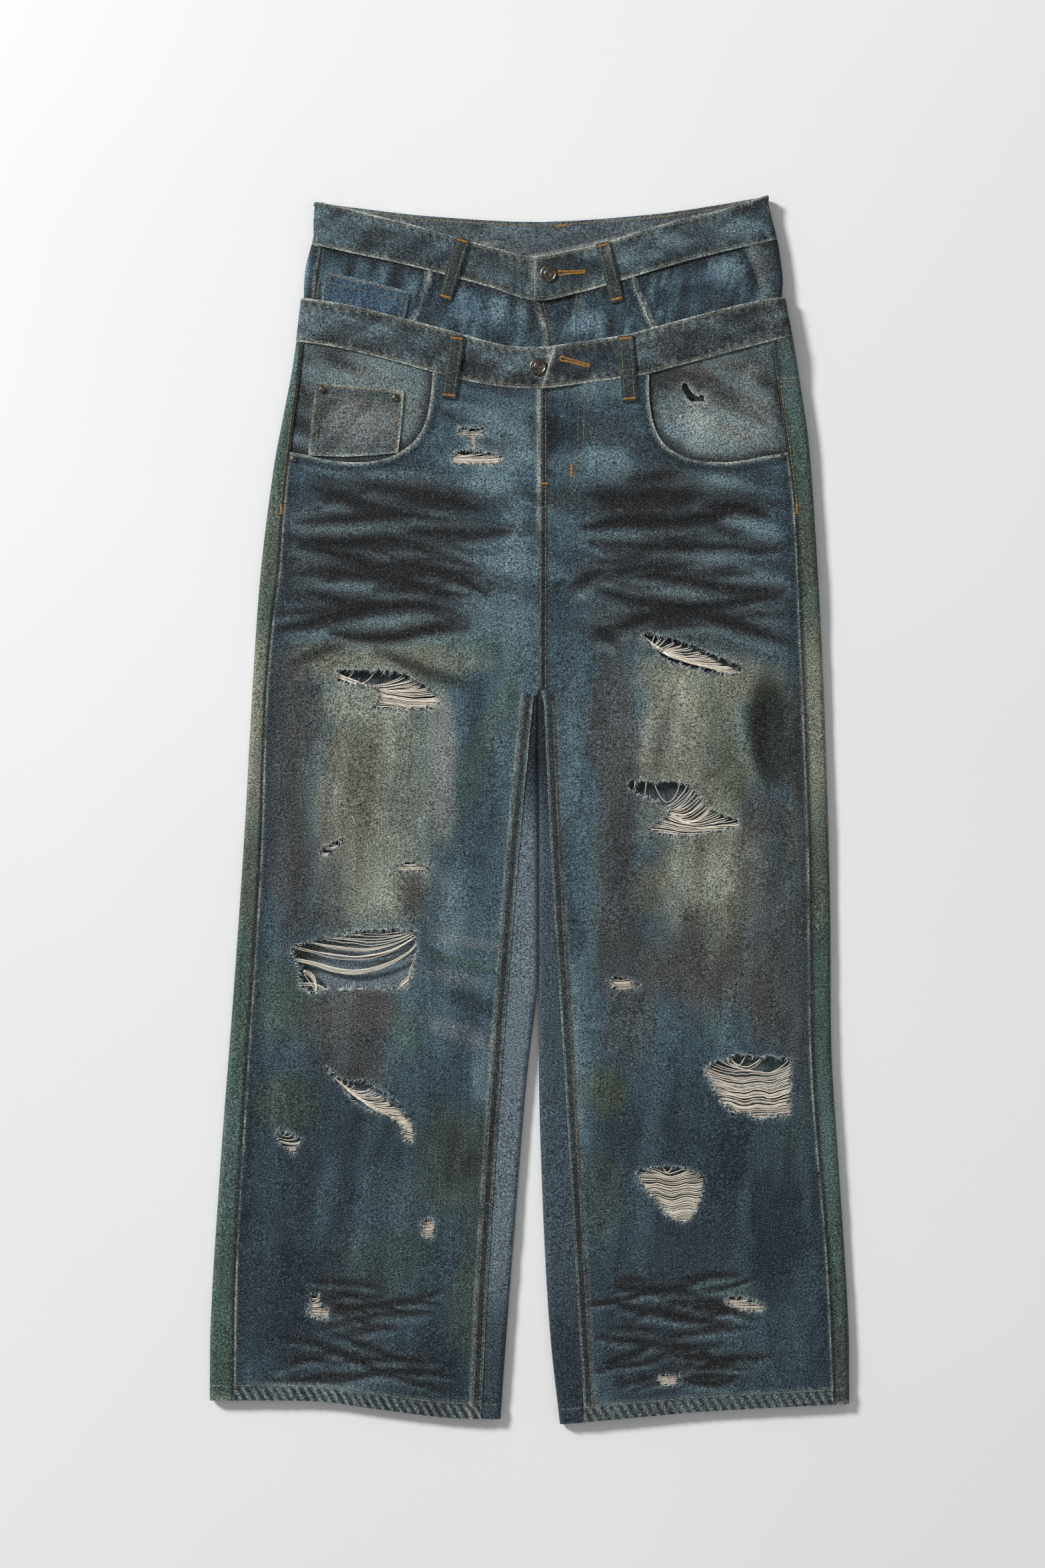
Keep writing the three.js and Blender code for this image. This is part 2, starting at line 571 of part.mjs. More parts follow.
// ---- Back pockets, flat under the seat ----
const BACK_POCKET = [[45, 892], [186, 888], [181, 765], [116, 743], [52, 765]];
for (const [hand, leg] of legs) {
  const outline = BACK_POCKET.map(([x, y]) => [leg.side * x, y]);
  add(`back_pocket_${hand}`, plate(outline, 0, POCKET_LIFT - GAP), MID_BLUE);
}

// ---- Buttons and rivets ----
function turned(profile, segments) {
  const points = profile.map(([radius, height]) => new THREE.Vector2(radius, height));
  return new THREE.LatheGeometry(points, segments).rotateX(Math.PI / 2);
}

const BUTTON = [[0, 0], [6.6, 0], [7.6, 0.7], [7.75, 1.3], [7.2, 2.1], [6.4, 2.5], [5.6, 2.0], [4.2, 1.9],
  [2.6, 2.3], [0, 2.5]];
const RIVET = [[0, 0], [2.8, 0], [3, 0.5], [2.2, 1.1], [0, 1.3]];
const OVER_FOLDS = 0.6; // a rivet's base clears the slope of the cloth beneath it

add('button_upper', turned(BUTTON, 20), GUNMETAL)
  .position.set(6.5, 1035.6, UPPER_FRONT + LAP + BAND / 2 + GAP);
add('button_lower', turned(BUTTON, 20), GUNMETAL)
  .position.set(-2.8, 952, LOWER_FRONT + BAND / 2 + GAP);

const RIVETS = {
  rivet_pocket_right: [-223, 869.5],
  rivet_pocket_left: [217, 871.5],
  rivet_coin_outer: [-197, 932],
  rivet_coin_inner: [-131, 924.5],
};
for (const [name, [x, y]] of Object.entries(RIVETS)) {
  add(name, turned(RIVET, 10), GUNMETAL).position.set(x, y, legFront(x, y) + CLOTH / 2 + OVER_FOLDS);
}

// ---- Standing on the surface, centred ----
jeans.updateMatrixWorld(true);
const extent = new THREE.Box3().setFromObject(jeans);
const middle = extent.getCenter(new THREE.Vector3());
jeans.position.set(-middle.x, -middle.y, -extent.min.z);

export default jeans;
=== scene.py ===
# %% [markdown]
# # Ripped jeans with two waistbands, laid flat on their back
# This lesson dresses the construction model of a pair of jeans. The cloth pieces are thin shells that follow
# the construction's own sections, so that every seam stays where a maker would sew it. The wash is painted
# onto their points, and the threads are small meshes. All working sizes are millimetres, with X = 0 at the
# centre front and Y = 0 at the lowest point of the hems; one function turns them into the frame's metres.

# %% Open the frame
import math
from types import SimpleNamespace

import bmesh
import bpy
import numpy as np
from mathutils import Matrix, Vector


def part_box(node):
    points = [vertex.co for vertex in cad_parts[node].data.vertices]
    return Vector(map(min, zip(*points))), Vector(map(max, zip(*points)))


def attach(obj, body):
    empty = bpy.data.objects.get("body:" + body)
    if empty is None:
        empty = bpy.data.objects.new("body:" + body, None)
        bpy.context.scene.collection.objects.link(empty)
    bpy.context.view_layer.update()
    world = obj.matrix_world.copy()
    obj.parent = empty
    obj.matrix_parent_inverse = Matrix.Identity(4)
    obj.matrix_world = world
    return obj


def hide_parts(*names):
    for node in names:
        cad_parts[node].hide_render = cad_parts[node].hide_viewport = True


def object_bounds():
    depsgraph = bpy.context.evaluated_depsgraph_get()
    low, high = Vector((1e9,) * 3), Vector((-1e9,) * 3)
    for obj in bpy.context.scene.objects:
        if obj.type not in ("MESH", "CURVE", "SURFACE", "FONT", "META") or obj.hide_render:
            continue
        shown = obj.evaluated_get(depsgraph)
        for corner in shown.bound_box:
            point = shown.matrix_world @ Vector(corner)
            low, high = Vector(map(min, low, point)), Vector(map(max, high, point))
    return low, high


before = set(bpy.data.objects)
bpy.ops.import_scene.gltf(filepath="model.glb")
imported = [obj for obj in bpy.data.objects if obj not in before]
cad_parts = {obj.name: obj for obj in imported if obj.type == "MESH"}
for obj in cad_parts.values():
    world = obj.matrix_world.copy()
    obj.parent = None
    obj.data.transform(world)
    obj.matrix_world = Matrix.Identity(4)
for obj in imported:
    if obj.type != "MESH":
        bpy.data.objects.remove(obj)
cad_low, cad_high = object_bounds()
MM = 0.001
HEM_CORNER_X = -299.0  # the outer corner of the wearer's right hem, where the box begins
print("CAD box, mm:", [round(v / MM, 1) for v in (*cad_low, *cad_high)])

# %% [markdown]
# ## Lines through a few points
# A pattern cutter draws a seam as a smooth line through a few marks. `curve` does the same: it gives a value
# for any place along the line, with the slope at each mark taken from its neighbours.

# %% Curves and blends
def curve(points):
    t, v = np.array(points, float).T
    before = np.clip(np.arange(len(t)) - 1, 0, None)
    after = np.clip(np.arange(len(t)) + 1, None, len(t) - 1)
    slope = (v[after] - v[before]) / (t[after] - t[before])

    def at(place):
        place = np.asarray(place, float)
        i = np.clip(np.searchsorted(t, place, side="right") - 1, 0, len(t) - 2)
        span = t[i + 1] - t[i]
        s = np.clip((place - t[i]) / span, 0, 1)
        level = v[i] * (1 + 2 * s) * (1 - s) ** 2 + v[i + 1] * s * s * (3 - 2 * s)
        return level + span * (slope[i] * s * (1 - s) ** 2 - slope[i + 1] * s * s * (1 - s))

    return at


def ramp(start, end, value):
    t = np.clip((value - start) / (end - start), 0, 1)
    return t * t * (3 - 2 * t)


def mix(a, b, share):
    return a + (b - a) * share


def to_metres(x, y, z):
    return np.stack([cad_low.x + (x - HEM_CORNER_X) * MM, cad_low.y + y * MM, z * MM], axis=-1)


# %% [markdown]
# ## The pattern
# These are the side edges, seams and folds of each leg, as X for a height Y, and the waist seams, as Y for a
# place X. They are the same lines as in the construction, so a shell made from them fits its solid.

# %% The pattern's lines
CROTCH = 660.0
right = SimpleNamespace(
    side=-1,
    edge=curve([(18, -299), (95, -298), (239, -289), (383, -278), (527, -268), (671, -260), (767, -253),
                (863, -241), (911, -232), (959, -223), (1015, -216)]),
    outseam=curve([(23, -277), (143, -275), (323, -264.7), (503, -253), (650, -248), (722, -242), (767, -236),
                   (835, -231), (878, -226), (941, -218), (975, -214)]),
    fold=curve([(0, -37), (71, -32), (167, -24.6), (311, -13), (390, -3.6), (410, -2.9), (CROTCH, -2.9)]),
    inseam=curve([(5, -54), (143, -47), (311, -36), (503, -21), (CROTCH, -6.5)]),
    hem=curve([(-299, 21.6), (-247, 22), (-196, 20.6), (-138, 12.8), (-79, 6), (-37, 5)]),
    band_edge=curve([(940, -224), (975, -221), (1014.6, -216.6)]),
    upper_edge=curve([(940, -220), (975, -218), (1005, -214.6), (1018, -213.8), (1030, -213.6), (1044, -212),
                      (1063, -207), (1087, -202), (1101, -198)]),
    upper_seam=curve([(940, -206), (1017, -204), (1063, -198)]),
)
left = SimpleNamespace(
    side=1,
    edge=curve([(18, 278), (95, 277), (239, 268), (335, 262), (479, 260.5), (671, 254.5), (815, 246.6),
                (887, 241), (935, 234), (980, 226.6), (1015, 220)]),
    outseam=curve([(34, 263), (143, 258), (323, 244), (515, 241), (767, 231), (824, 228), (871, 222.5),
                   (943, 212), (980, 207)]),
    fold=curve([(0, 17), (71, 9), (143, 4), (235, 0), (300, -1.9), (320, -2), (CROTCH, -2)]),
    inseam=curve([(14, 38.4), (143, 30.6), (311, 21), (503, 9), (CROTCH, 2)]),
    hem=curve([(16, 0), (80, 6), (150, 12), (222, 16), (278, 18.6)]),
    band_edge=curve([(940, 233), (980, 226.6), (1015.4, 220)]),
    upper_edge=curve([(940, 229), (980, 223.6), (1005, 218.7), (1018, 217), (1030, 217.8), (1044, 216.5),
                      (1067, 213), (1087, 208), (1107, 203.4)]),
    upper_seam=curve([(940, 207), (1017, 200), (1040, 194), (1059, 185), (1068, 181)]),
)
legs = {"right": right, "left": left}

lower_top = curve([(-217, 1014.6), (-173, 1008), (-133, 998), (-86, 986), (-49, 975.5), (-24, 970.5),
                   (5, 970.5), (44, 976), (78, 981.6), (106, 989), (152, 1001.5), (192, 1011), (220, 1015.4)])
lower_bottom = curve([(-221, 975), (-189, 970.5), (-142, 959.6), (-96, 947), (-49, 936), (0, 932.5),
                      (44, 938), (87, 944), (137, 956.6), (183, 969), (226.6, 980)])
upper_top = curve([(-198, 1100.6), (-158, 1091), (-118, 1081), (-80, 1070), (-43, 1060), (-7.4, 1052),
                   (34, 1059), (59, 1065), (87, 1074), (121, 1084), (152, 1091), (183, 1100), (203, 1107)])
upper_bottom = curve([(-207, 1063), (-167, 1054), (-127, 1045.5), (-89.5, 1036), (-49, 1025), (-4, 1012),
                      (37.5, 1020), (75, 1031), (121, 1045), (168, 1057), (213, 1067.5)])
lower_back_top = curve([(-217, 1014.6), (-110, 1006), (0, 1003), (110, 1007), (220, 1015.4)])
lower_back_bottom = curve([(-221, 975), (-110, 966), (0, 963), (110, 968), (226.6, 980)])
upper_back_top = curve([(-198, 1100.6), (-142, 1093.5), (-92.6, 1088.4), (0, 1084), (105.7, 1091.4),
                        (167.7, 1100.6), (203.4, 1107)])
upper_back_bottom = curve([(-207, 1063), (-142, 1055), (-92.6, 1050), (0, 1045), (105.7, 1052.5),
                           (167.7, 1061), (213, 1067.5)])
YOKE_SIDE, YOKE_CENTRE, YOKE_REACH = 941.0, 905.0, 236.0
SEAT_X, RISE_X = -2.45, -2.0


def yoke_seam(x):
    return YOKE_CENTRE + (YOKE_SIDE - YOKE_CENTRE) * np.abs(x - SEAT_X) / YOKE_REACH


# Thicknesses, and the middle heights of the layers above the floor.
CLOTH, BAND, LOOP, GAP = 1.2, 2.4, 1.8, 0.3
LAYER = CLOTH + GAP
LEG_ROUND, LOWER_ROUND = 5.0, 8.0
UPPER_ROUND = LOWER_ROUND - BAND / 2 - GAP - CLOTH / 2
LEG_FRONT, SEAT_FRONT, LOWER_FRONT, UPPER_FRONT = 8.2, 10.4, 15.3, 11.6
POCKET_LIFT, WAIST_LIFT = 1.5, 2.2
BAND_BACK = WAIST_LIFT + BAND / 2
STRIP_FRONT_INSIDE = LOWER_FRONT - BAND / 2 - GAP - CLOTH / 2
STRIP_BACK_INSIDE = WAIST_LIFT + BAND + GAP + CLOTH / 2
LAP = BAND + GAP
print("waist depth at centre front, mm:", round(float(lower_top(0) - lower_bottom(0)), 1))

# %% [markdown]
# ## Clouds
# Washing leaves patches of every size. `clouds` is soft noise: random values on a lattice, blended smoothly,
# with smaller and fainter lattices added. The seed is fixed, so each run gives the same cloth.

# %% Soft noise
LATTICE = 64


def cloud(x, y, size, seed):
    values = np.random.default_rng(seed).random((LATTICE, LATTICE))
    u, v = np.asarray(x) / size, np.asarray(y) / size
    i, j = np.floor(u).astype(int), np.floor(v).astype(int)
    s, t = ramp(0, 1, u - i), ramp(0, 1, v - j)
    corner = lambda a, b: values[(i + a) % LATTICE, (j + b) % LATTICE]
    low = mix(corner(0, 0), corner(1, 0), s)
    high = mix(corner(0, 1), corner(1, 1), s)
    return mix(low, high, t) * 2 - 1


def clouds(x, y, size, seed, layers=3):
    total = sum(cloud(x, y, size / 2**k, seed + k) / 2**k for k in range(layers))
    return total / (2 - 0.5 ** (layers - 1))


# %% [markdown]
# ## Rips, folds and whiskers
# A rip is an outline with a ragged edge. A whisker is a stroke that was rubbed dark into a crease of the
# cloth, so the same stroke both colours the cloth and dents it. Strokes are lists of places along the crease
# with a half width.

# %% Distance tools
def smooth_path(points, step=3.0):
    points = np.array(points, float)
    lengths = np.r_[0, np.cumsum(np.hypot(*np.diff(points, axis=0).T))]
    places = np.linspace(0, lengths[-1], max(2, int(lengths[-1] / step) + 1))
    line = [curve(np.stack([lengths, points[:, k]], axis=1))(places) for k in (0, 1)]
    return np.stack(line, axis=1)


def distance_to(x, y, path, reach):
    """Distance from each point to a path, and how far along it the nearest place is, from 0 to 1."""
    far = np.full(x.shape, 1e3)
    along = np.zeros(x.shape)
    (x0, y0), (x1, y1) = path.min(axis=0) - reach, path.max(axis=0) + reach
    near = (x > x0) & (x < x1) & (y > y0) & (y < y1)
    px, py = x[near], y[near]
    best, where = np.full(px.shape, 1e3), np.zeros(px.shape)
    for k, (start, end) in enumerate(zip(path[:-1], path[1:])):
        step = end - start
        t = np.clip(((px - start[0]) * step[0] + (py - start[1]) * step[1]) / max(step @ step, 1e-9), 0, 1)
        distance = np.hypot(px - start[0] - t * step[0], py - start[1] - t * step[1])
        closer = distance < best
        best[closer] = distance[closer]
        where[closer] = (k + t[closer]) / (len(path) - 1)
    far[near], along[near] = best, where
    return far, along


def inside(x, y, outline):
    """Whether each point lies within an outline."""
    low, high = outline.min(axis=0), outline.max(axis=0)
    near = (x > low[0]) & (x < high[0]) & (y > low[1]) & (y < high[1])
    px, py = x[near], y[near]
    odd = np.zeros(px.shape, bool)
    for (x0, y0), (x1, y1) in zip(outline, np.roll(outline, -1, axis=0)):
        if y0 != y1:
            odd ^= ((y0 > py) != (y1 > py)) & (px < (x1 - x0) * (py - y0) / (y1 - y0) + x0)
    within = np.zeros(x.shape, bool)
    within[near] = odd
    return within


# %% The rips
def ragged(outline, seed, step=2.2, jitter=0.8):
    """The outline with many more points, each pulled a little to one side, as a worn edge is."""
    points = np.array(outline, float)
    closed = np.vstack([points, points[:1]])
    line = []
    for start, end in zip(closed[:-1], closed[1:]):
        count = max(1, int(np.hypot(*(end - start)) / step))
        line.extend(start + (end - start) * k / count for k in range(count))
    noise = np.random.default_rng(seed).normal(0, jitter, (len(line), 2))
    return np.array(line) + np.clip(noise, -1.6 * jitter, 1.6 * jitter)


RIPS = {
    "right_hip_bar": [(-75, 898), (-52, 897), (-52, 891), (-59, 890), (-60, 877), (-65, 877), (-66, 890),
                      (-75, 892)],
    "right_hip_slot": [(-81, 876), (-66, 877.5), (-50, 876), (-33, 872), (-36, 866), (-60, 864.5),
                       (-80, 866)],
    "right_thigh": [(-185, 680), (-150, 679.5), (-124, 677), (-108, 668), (-93, 657), (-93, 646), (-120, 644),
                    (-153, 644.5), (-145, 655), (-148, 664), (-168, 666), (-184, 670)],
    "right_slant": [(-201, 515), (-190, 524), (-178, 529), (-179, 524), (-188, 515), (-198, 510)],
    "right_small_slot": [(-132, 504), (-118, 506), (-103, 504), (-104, 498.5), (-118, 498), (-131, 498.5)],
    "right_knee": [(-227, 427), (-218, 434), (-190, 440), (-167, 445), (-133, 447.5), (-113, 445),
                   (-112, 425),
                   (-115, 406), (-120, 393), (-156, 392), (-193, 392), (-205, 387), (-218, 394), (-218, 410)],
    "right_shin": [(-194, 321), (-181, 311), (-160, 310), (-145, 301), (-131, 292), (-122, 281), (-115, 267),
                   (-115, 254), (-122, 255), (-127, 270), (-137, 277), (-154, 282), (-169, 292), (-183, 306)],
    "right_triangle": [(-239, 262), (-228, 264), (-215, 258), (-219, 250), (-224, 243), (-229, 249),
                       (-236, 253)],
    "right_fleck": [(-107, 184), (-99, 186), (-96, 176), (-99, 167), (-106, 169), (-108, 177)],
    "right_ankle": [(-208, 117), (-200, 118), (-199, 106), (-191, 104), (-192, 97), (-203, 95), (-210, 99)],
    "left_thigh": [(91, 711), (97, 714), (116, 709), (131, 704), (146, 699), (161, 692), (180, 685),
                   (180, 677), (164, 675), (146, 679), (131, 683), (118, 685), (110, 691), (101, 701)],
    "left_knee": [(77, 576), (82, 581), (100, 579), (116, 580), (130, 577.5), (144, 566), (149, 556),
                  (161, 550),
                  (179, 544), (179, 538), (164, 535), (144, 531.5), (127, 530.5), (110, 531), (97, 536),
                  (104, 543), (117, 549), (113, 556), (101, 563), (88, 568)],
    "left_small_slot": [(58, 398), (66, 403), (78, 401), (89, 397), (86, 393), (72, 392), (62, 394)],
    "left_calf": [(146, 322), (156, 327), (166, 329), (178, 334), (200, 331), (225, 330), (225, 300),
                  (224, 279), (209, 277), (193, 275), (183, 281), (174, 278), (163, 289), (155, 302)],
    "left_shin": [(85, 228), (102, 232), (117, 234), (135, 229), (147, 221), (145, 206), (139, 192),
                  (134, 184), (123, 183), (113, 187), (106, 197), (96, 208), (90, 218)],
    "left_ankle": [(163, 113), (175, 115), (190, 112), (201, 109), (200, 102), (186, 103), (172, 105)],
    "left_fleck": [(104, 43), (112, 46), (124, 44), (123, 36), (112, 35), (105, 37)],
}
ragged_rips = {name: ragged(points, seed) for seed, (name, points) in enumerate(RIPS.items())}


def rip_distance(x, y, reach=14.0):
    best = np.full(x.shape, reach)
    for outline in ragged_rips.values():
        best = np.minimum(best, distance_to(x, y, np.vstack([outline, outline[:1]]), reach)[0])
    return best


print("rips:", len(RIPS))

# %% Whiskers and folds
# Each stroke is its half width in mm, its strength, and the places along it.
WHISKERS = [
    (6, 0.95, [(-204, 843), (-182, 836), (-152, 826), (-130, 823)]),
    (8, 1.0, [(-159, 847), (-130, 841), (-96, 833), (-56, 824)]),
    (5, 0.85, [(-220, 812), (-182, 815), (-147, 817), (-104, 819)]),
    (5, 0.9, [(-121, 804), (-87, 803), (-44, 802), (-27, 804)]),
    (6, 0.95, [(-232, 800), (-216, 795), (-182, 793), (-132, 795), (-104, 788), (-73, 778)]),
    (7, 1.0, [(-214, 791), (-182, 783), (-147, 772), (-121, 771), (-87, 767), (-65, 757), (-49, 748)]),
    (6, 0.9, [(-225, 766), (-182, 766), (-139, 762), (-113, 755), (-87, 748), (-65, 746)]),
    (6, 0.9, [(-209, 750), (-182, 741), (-147, 736), (-113, 738), (-80, 733)]),
    (6, 0.95, [(-240, 715), (-207, 722), (-164, 731), (-130, 736)]),
    (5, 0.85, [(-190, 714), (-164, 709), (-130, 709), (-104, 715), (-66, 717)]),
    (12, 0.95, [(42, 836), (62, 833), (80, 832), (112, 834), (144, 836)]),
    (6, 0.8, [(79, 850), (102, 852), (125, 858)]),
    (7, 1.0, [(40, 808), (72, 812), (116, 812), (151, 816), (178, 825), (185, 829)]),
    (6, 0.9, [(148, 827), (169, 827), (204, 819)]),
    (5, 0.8, [(46, 795), (81, 791), (116, 790), (142, 790), (183, 791)]),
    (4, 0.6, [(46, 777), (72, 777), (98, 783)]),
    (6, 0.85, [(28, 753), (46, 763), (54, 768)]),
    (6, 0.95, [(51, 753), (72, 746), (98, 739), (134, 735), (169, 739), (216, 747)]),
    (6, 0.95, [(91, 763), (125, 761), (151, 756), (178, 751), (218, 751)]),
    (6, 0.95, [(53, 714), (72, 719), (98, 726), (134, 730), (169, 723), (195, 714), (229, 702)]),
    (6, 0.9, [(50, 714), (58, 711), (68, 706)]),
    (3, 0.5, [(146, 769), (162, 770), (178, 772)]),
    (3, 0.6, [(-212, 131), (-177, 128), (-151, 125), (-134, 120)]),
    (3, 0.6, [(-196, 119), (-173, 118), (-155, 114)]),
    (3, 0.6, [(-188, 99), (-169, 103), (-153, 103)]),
    (3, 0.6, [(-159, 95), (-145, 99), (-102, 99)]),
    (3.4, 0.75, [(-237, 79), (-212, 76), (-186, 67), (-167, 58), (-143, 48)]),
    (3.4, 0.7, [(-194, 85), (-167, 75), (-141, 65), (-126, 58), (-102, 54)]),
    (3, 0.6, [(-177, 87), (-145, 86), (-132, 87)]),
    (3, 0.6, [(-231, 61), (-192, 58)]),
    (3, 0.6, [(-126, 46), (-106, 46)]),
    (3.4, 0.75, [(66, 130), (80, 131), (94, 130)]),
    (3.4, 0.75, [(126, 131), (160, 135), (180, 135)]),
    (3.4, 0.75, [(80, 116), (108, 121), (140, 119)]),
    (3.8, 0.8, [(66, 109), (100, 101), (126, 95), (142, 93)]),
    (3, 0.6, [(60, 87), (84, 87), (108, 85)]),
    (3.4, 0.75, [(112, 77), (136, 83), (160, 89), (172, 93)]),
    (3.8, 0.8, [(56, 55), (76, 61), (100, 73)]),
    (3, 0.6, [(124, 59), (154, 64)]),
    (3.8, 0.75, [(140, 49), (170, 58), (204, 62)]),
    (3, 0.6, [(124, 40), (150, 37), (170, 34)]),
]


def finer_strokes(seed, count, middle, reach, width, strength):
    """Thinner creases, scattered between the listed ones."""
    chance = np.random.default_rng(seed)
    strokes = []
    for _ in range(count):
        x, y = np.array(middle) + chance.uniform(-1, 1, 2) * reach
        half, slope, bend = chance.uniform(16, 40), chance.uniform(-0.3, 0.3), chance.uniform(-4, 4)
        strokes.append((width * chance.uniform(0.8, 1.3), strength * chance.uniform(0.6, 1.1),
                        [(x - half, y - half * slope), (x, y + bend), (x + half, y + half * slope)]))
    return strokes


WHISKERS += finer_strokes(5, 22, (-160, 80), (56, 42), 2.5, 0.8)
WHISKERS += finer_strokes(6, 24, (120, 82), (56, 46), 2.6, 0.9)
WHISKERS += finer_strokes(7, 20, (-140, 780), (72, 62), 3.2, 0.6)
WHISKERS += finer_strokes(8, 20, (125, 775), (72, 62), 3.2, 0.6)
OLIVE_STROKES = [
    (6, 0.8, [(-223, 686), (-199, 695), (-178, 701)]),
    (7, 0.85, [(-147, 697), (-118, 684), (-91, 673), (-64, 666)]),
]
# Long creases on the thighs; their dark lines in the wash are painted shade.
SHADED_CREASES = [
    (7, 0.5, [(120, 664), (114, 630), (105, 580)]),
    (5, 0.35, [(150, 610), (146, 560), (140, 500)]),
    (5, 0.3, [(-176, 640), (-184, 590), (-196, 540)]),
    (6, 0.3, [(-130, 640), (-127, 600), (-133, 540)]),
    (5, 0.3, [(110, 500), (128, 470), (140, 450)]),
]
whisker_lines, olive_lines, crease_lines = (
    [(width, strength, smooth_path(points, 9)) for width, strength, points in strokes]
    for strokes in (WHISKERS, OLIVE_STROKES, SHADED_CREASES)
)


def stroke(x, y, line, width, spread=1.0):
    """How strongly a stroke marks each point: full on its line, tapering to its ends."""
    distance, along = distance_to(x, y, line, 3.2 * width * spread)
    taper = np.sqrt(np.clip(np.sin(np.pi * np.clip(along, 0.02, 0.98)), 0, 1))
    return np.exp(-((distance / (width * spread * (0.35 + 0.65 * taper))) ** 2)) * (0.35 + 0.65 * taper)


# The largest folds, as (x, y, x, y, height, reach), which the construction has too.
FOLDS = [
    (-215, 800, -60, 842, 2.2, 20), (-230, 712, -90, 740, 2.0, 18), (-60, 620, -105, 480, 1.6, 24),
    (-240, 490, -215, 340, 1.8, 22), (-60, 400, -120, 300, 1.6, 24), (-235, 210, -150, 150, 1.8, 22),
    (-245, 92, -110, 60, 2.2, 20), (45, 824, 180, 845, 2.2, 20), (50, 742, 215, 748, 2.2, 18),
    (92, 680, 84, 560, 1.8, 16), (146, 665, 132, 540, 1.8, 16), (206, 560, 192, 340, 1.8, 20),
    (60, 330, 120, 260, 1.6, 24), (70, 130, 170, 92, 2.0, 20), (60, 62, 205, 58, 2.0, 20),
]
WHISKER_DENT = 0.24  # depth of a whisker's crease for each mm of its half width


def creases(x, y):
    height = np.zeros(x.shape)
    for x0, y0, x1, y1, rise, reach in FOLDS:
        distance = distance_to(x, y, np.array([(x0, y0), (x1, y1)], float), 3 * reach)[0]
        height += rise * np.exp(-((distance / reach) ** 2))
    for width, strength, line in whisker_lines + olive_lines + crease_lines:
        dent = WHISKER_DENT * width * strength
        height += dent * (0.9 * stroke(x, y, line, width, 1.9) - 1.5 * stroke(x, y, line, width, 0.9))
    height += 1.0 * clouds(x, y, 70, 11) + 0.5 * clouds(x, y, 17, 21) + 0.16 * cloud(x, y, 6, 31)
    return height


# %% [markdown]
# ## Heights of the layers
# One function gives the height of each layer at any point. Everything that lies on a layer, from a facing to
# a stitch, asks the same function, so nothing floats or cuts through.

# %% Heights
seat_lift = curve([(0, 0), (700, 0), (722, 0), (736, POCKET_LIFT), (897, POCKET_LIFT), (915, WAIST_LIFT),
                   (960, WAIST_LIFT), (1110, WAIST_LIFT)])
SEAM_PUCKER = 9.0  # spacing of the puckers beside a sewn seam


def pucker(distance, along, reach=9.0, depth=0.45):
    """Small pulled folds square to a seam, dying out away from it."""
    wobble = 2.2 * cloud(along, distance * 0.3, 23, 41)
    return depth * np.sin(2 * np.pi * along / SEAM_PUCKER + wobble) * np.exp(-np.abs(distance) / reach)


def leg_seams(x, y):
    """Puckers, the turned hem's thickness and the felled inseam's ridge."""
    rise = np.zeros(x.shape)
    for leg in legs.values():
        own = x * leg.side > RISE_X * leg.side
        to_inseam = (x - leg.inseam(y)) * leg.side
        felled = own & (y < CROTCH) & (to_inseam > 0) & (to_inseam < 10)
        rise += np.where(felled, 0.7, 0.0)
        rise += own * (y < CROTCH) * pucker(to_inseam - 5, y)
        rise += own * pucker((x - leg.outseam(y)) * leg.side, y, 6.0, 0.35)
        above_hem = y - leg.hem(x)
        rise += own * np.where(above_hem < 13, 0.8, 0.0)
        rise += own * pucker(above_hem - 6, x + 0.6 * above_hem, 8.0, 0.7)
    return rise


def leg_front(x, y):
    seated = mix(LEG_FRONT, SEAT_FRONT, ramp(690, 770, y)) + creases(x, y) + leg_seams(x, y)
    seam = lower_bottom(x)
    near_band = pucker(seam - y, x, 7.0, 0.35)
    return mix(seated, LOWER_FRONT, ramp(seam - 52, seam - 4, y)) + near_band


def leg_back(x, y):
    return CLOTH / 2 + np.clip(seat_lift(y), 0, WAIST_LIFT)


def strip_waves(x, y):
    return 0.45 * clouds(x, y, 34, 51) + 0.25 * cloud(x, y, 9, 52)


def strip_front(x, y):
    out = ramp(2, 16, y - lower_top(x))
    return mix(STRIP_FRONT_INSIDE, UPPER_FRONT, out) + out * strip_waves(x, y)


def strip_back(x, y):
    return mix(STRIP_BACK_INSIDE, BAND_BACK, ramp(2, 20, y - lower_back_top(x)))


def band_waves(x, y):
    return 0.3 * clouds(x, y, 30, 61) + 0.12 * cloud(x, y, 7, 62)


# %% [markdown]
# ## The wash
# On the real jeans the indigo was faded on the thighs, tinted with olive, sprayed dark along the creases, and
# rubbed white at every seam. A shader could guess at that with noise, but then no mark would lie where a hand
# put it. So each large mark is a soft blot or stroke at its own place, and only the finer creases and the
# mottling are scattered by chance. Some marks are painted light and shade, not dye: a painted highlight below
# each whisker, painted highlight and shade on small folds, painted shade along the long thigh creases, and
# painted shadows beside the outseams, inside the pocket openings and along the foot of the upper waistband.
# The colour is kept on the cloth's points.

# %% Colours
def rgb(hex_colour):
    return np.array([int(hex_colour[k : k + 2], 16) / 255 for k in (1, 3, 5)])


def to_linear(srgb):
    srgb = np.asarray(srgb, float)
    return np.where(srgb <= 0.04045, srgb / 12.92, ((srgb + 0.055) / 1.055) ** 2.4)


def linear(hex_colour):
    return (*to_linear(rgb(hex_colour)), 1.0)
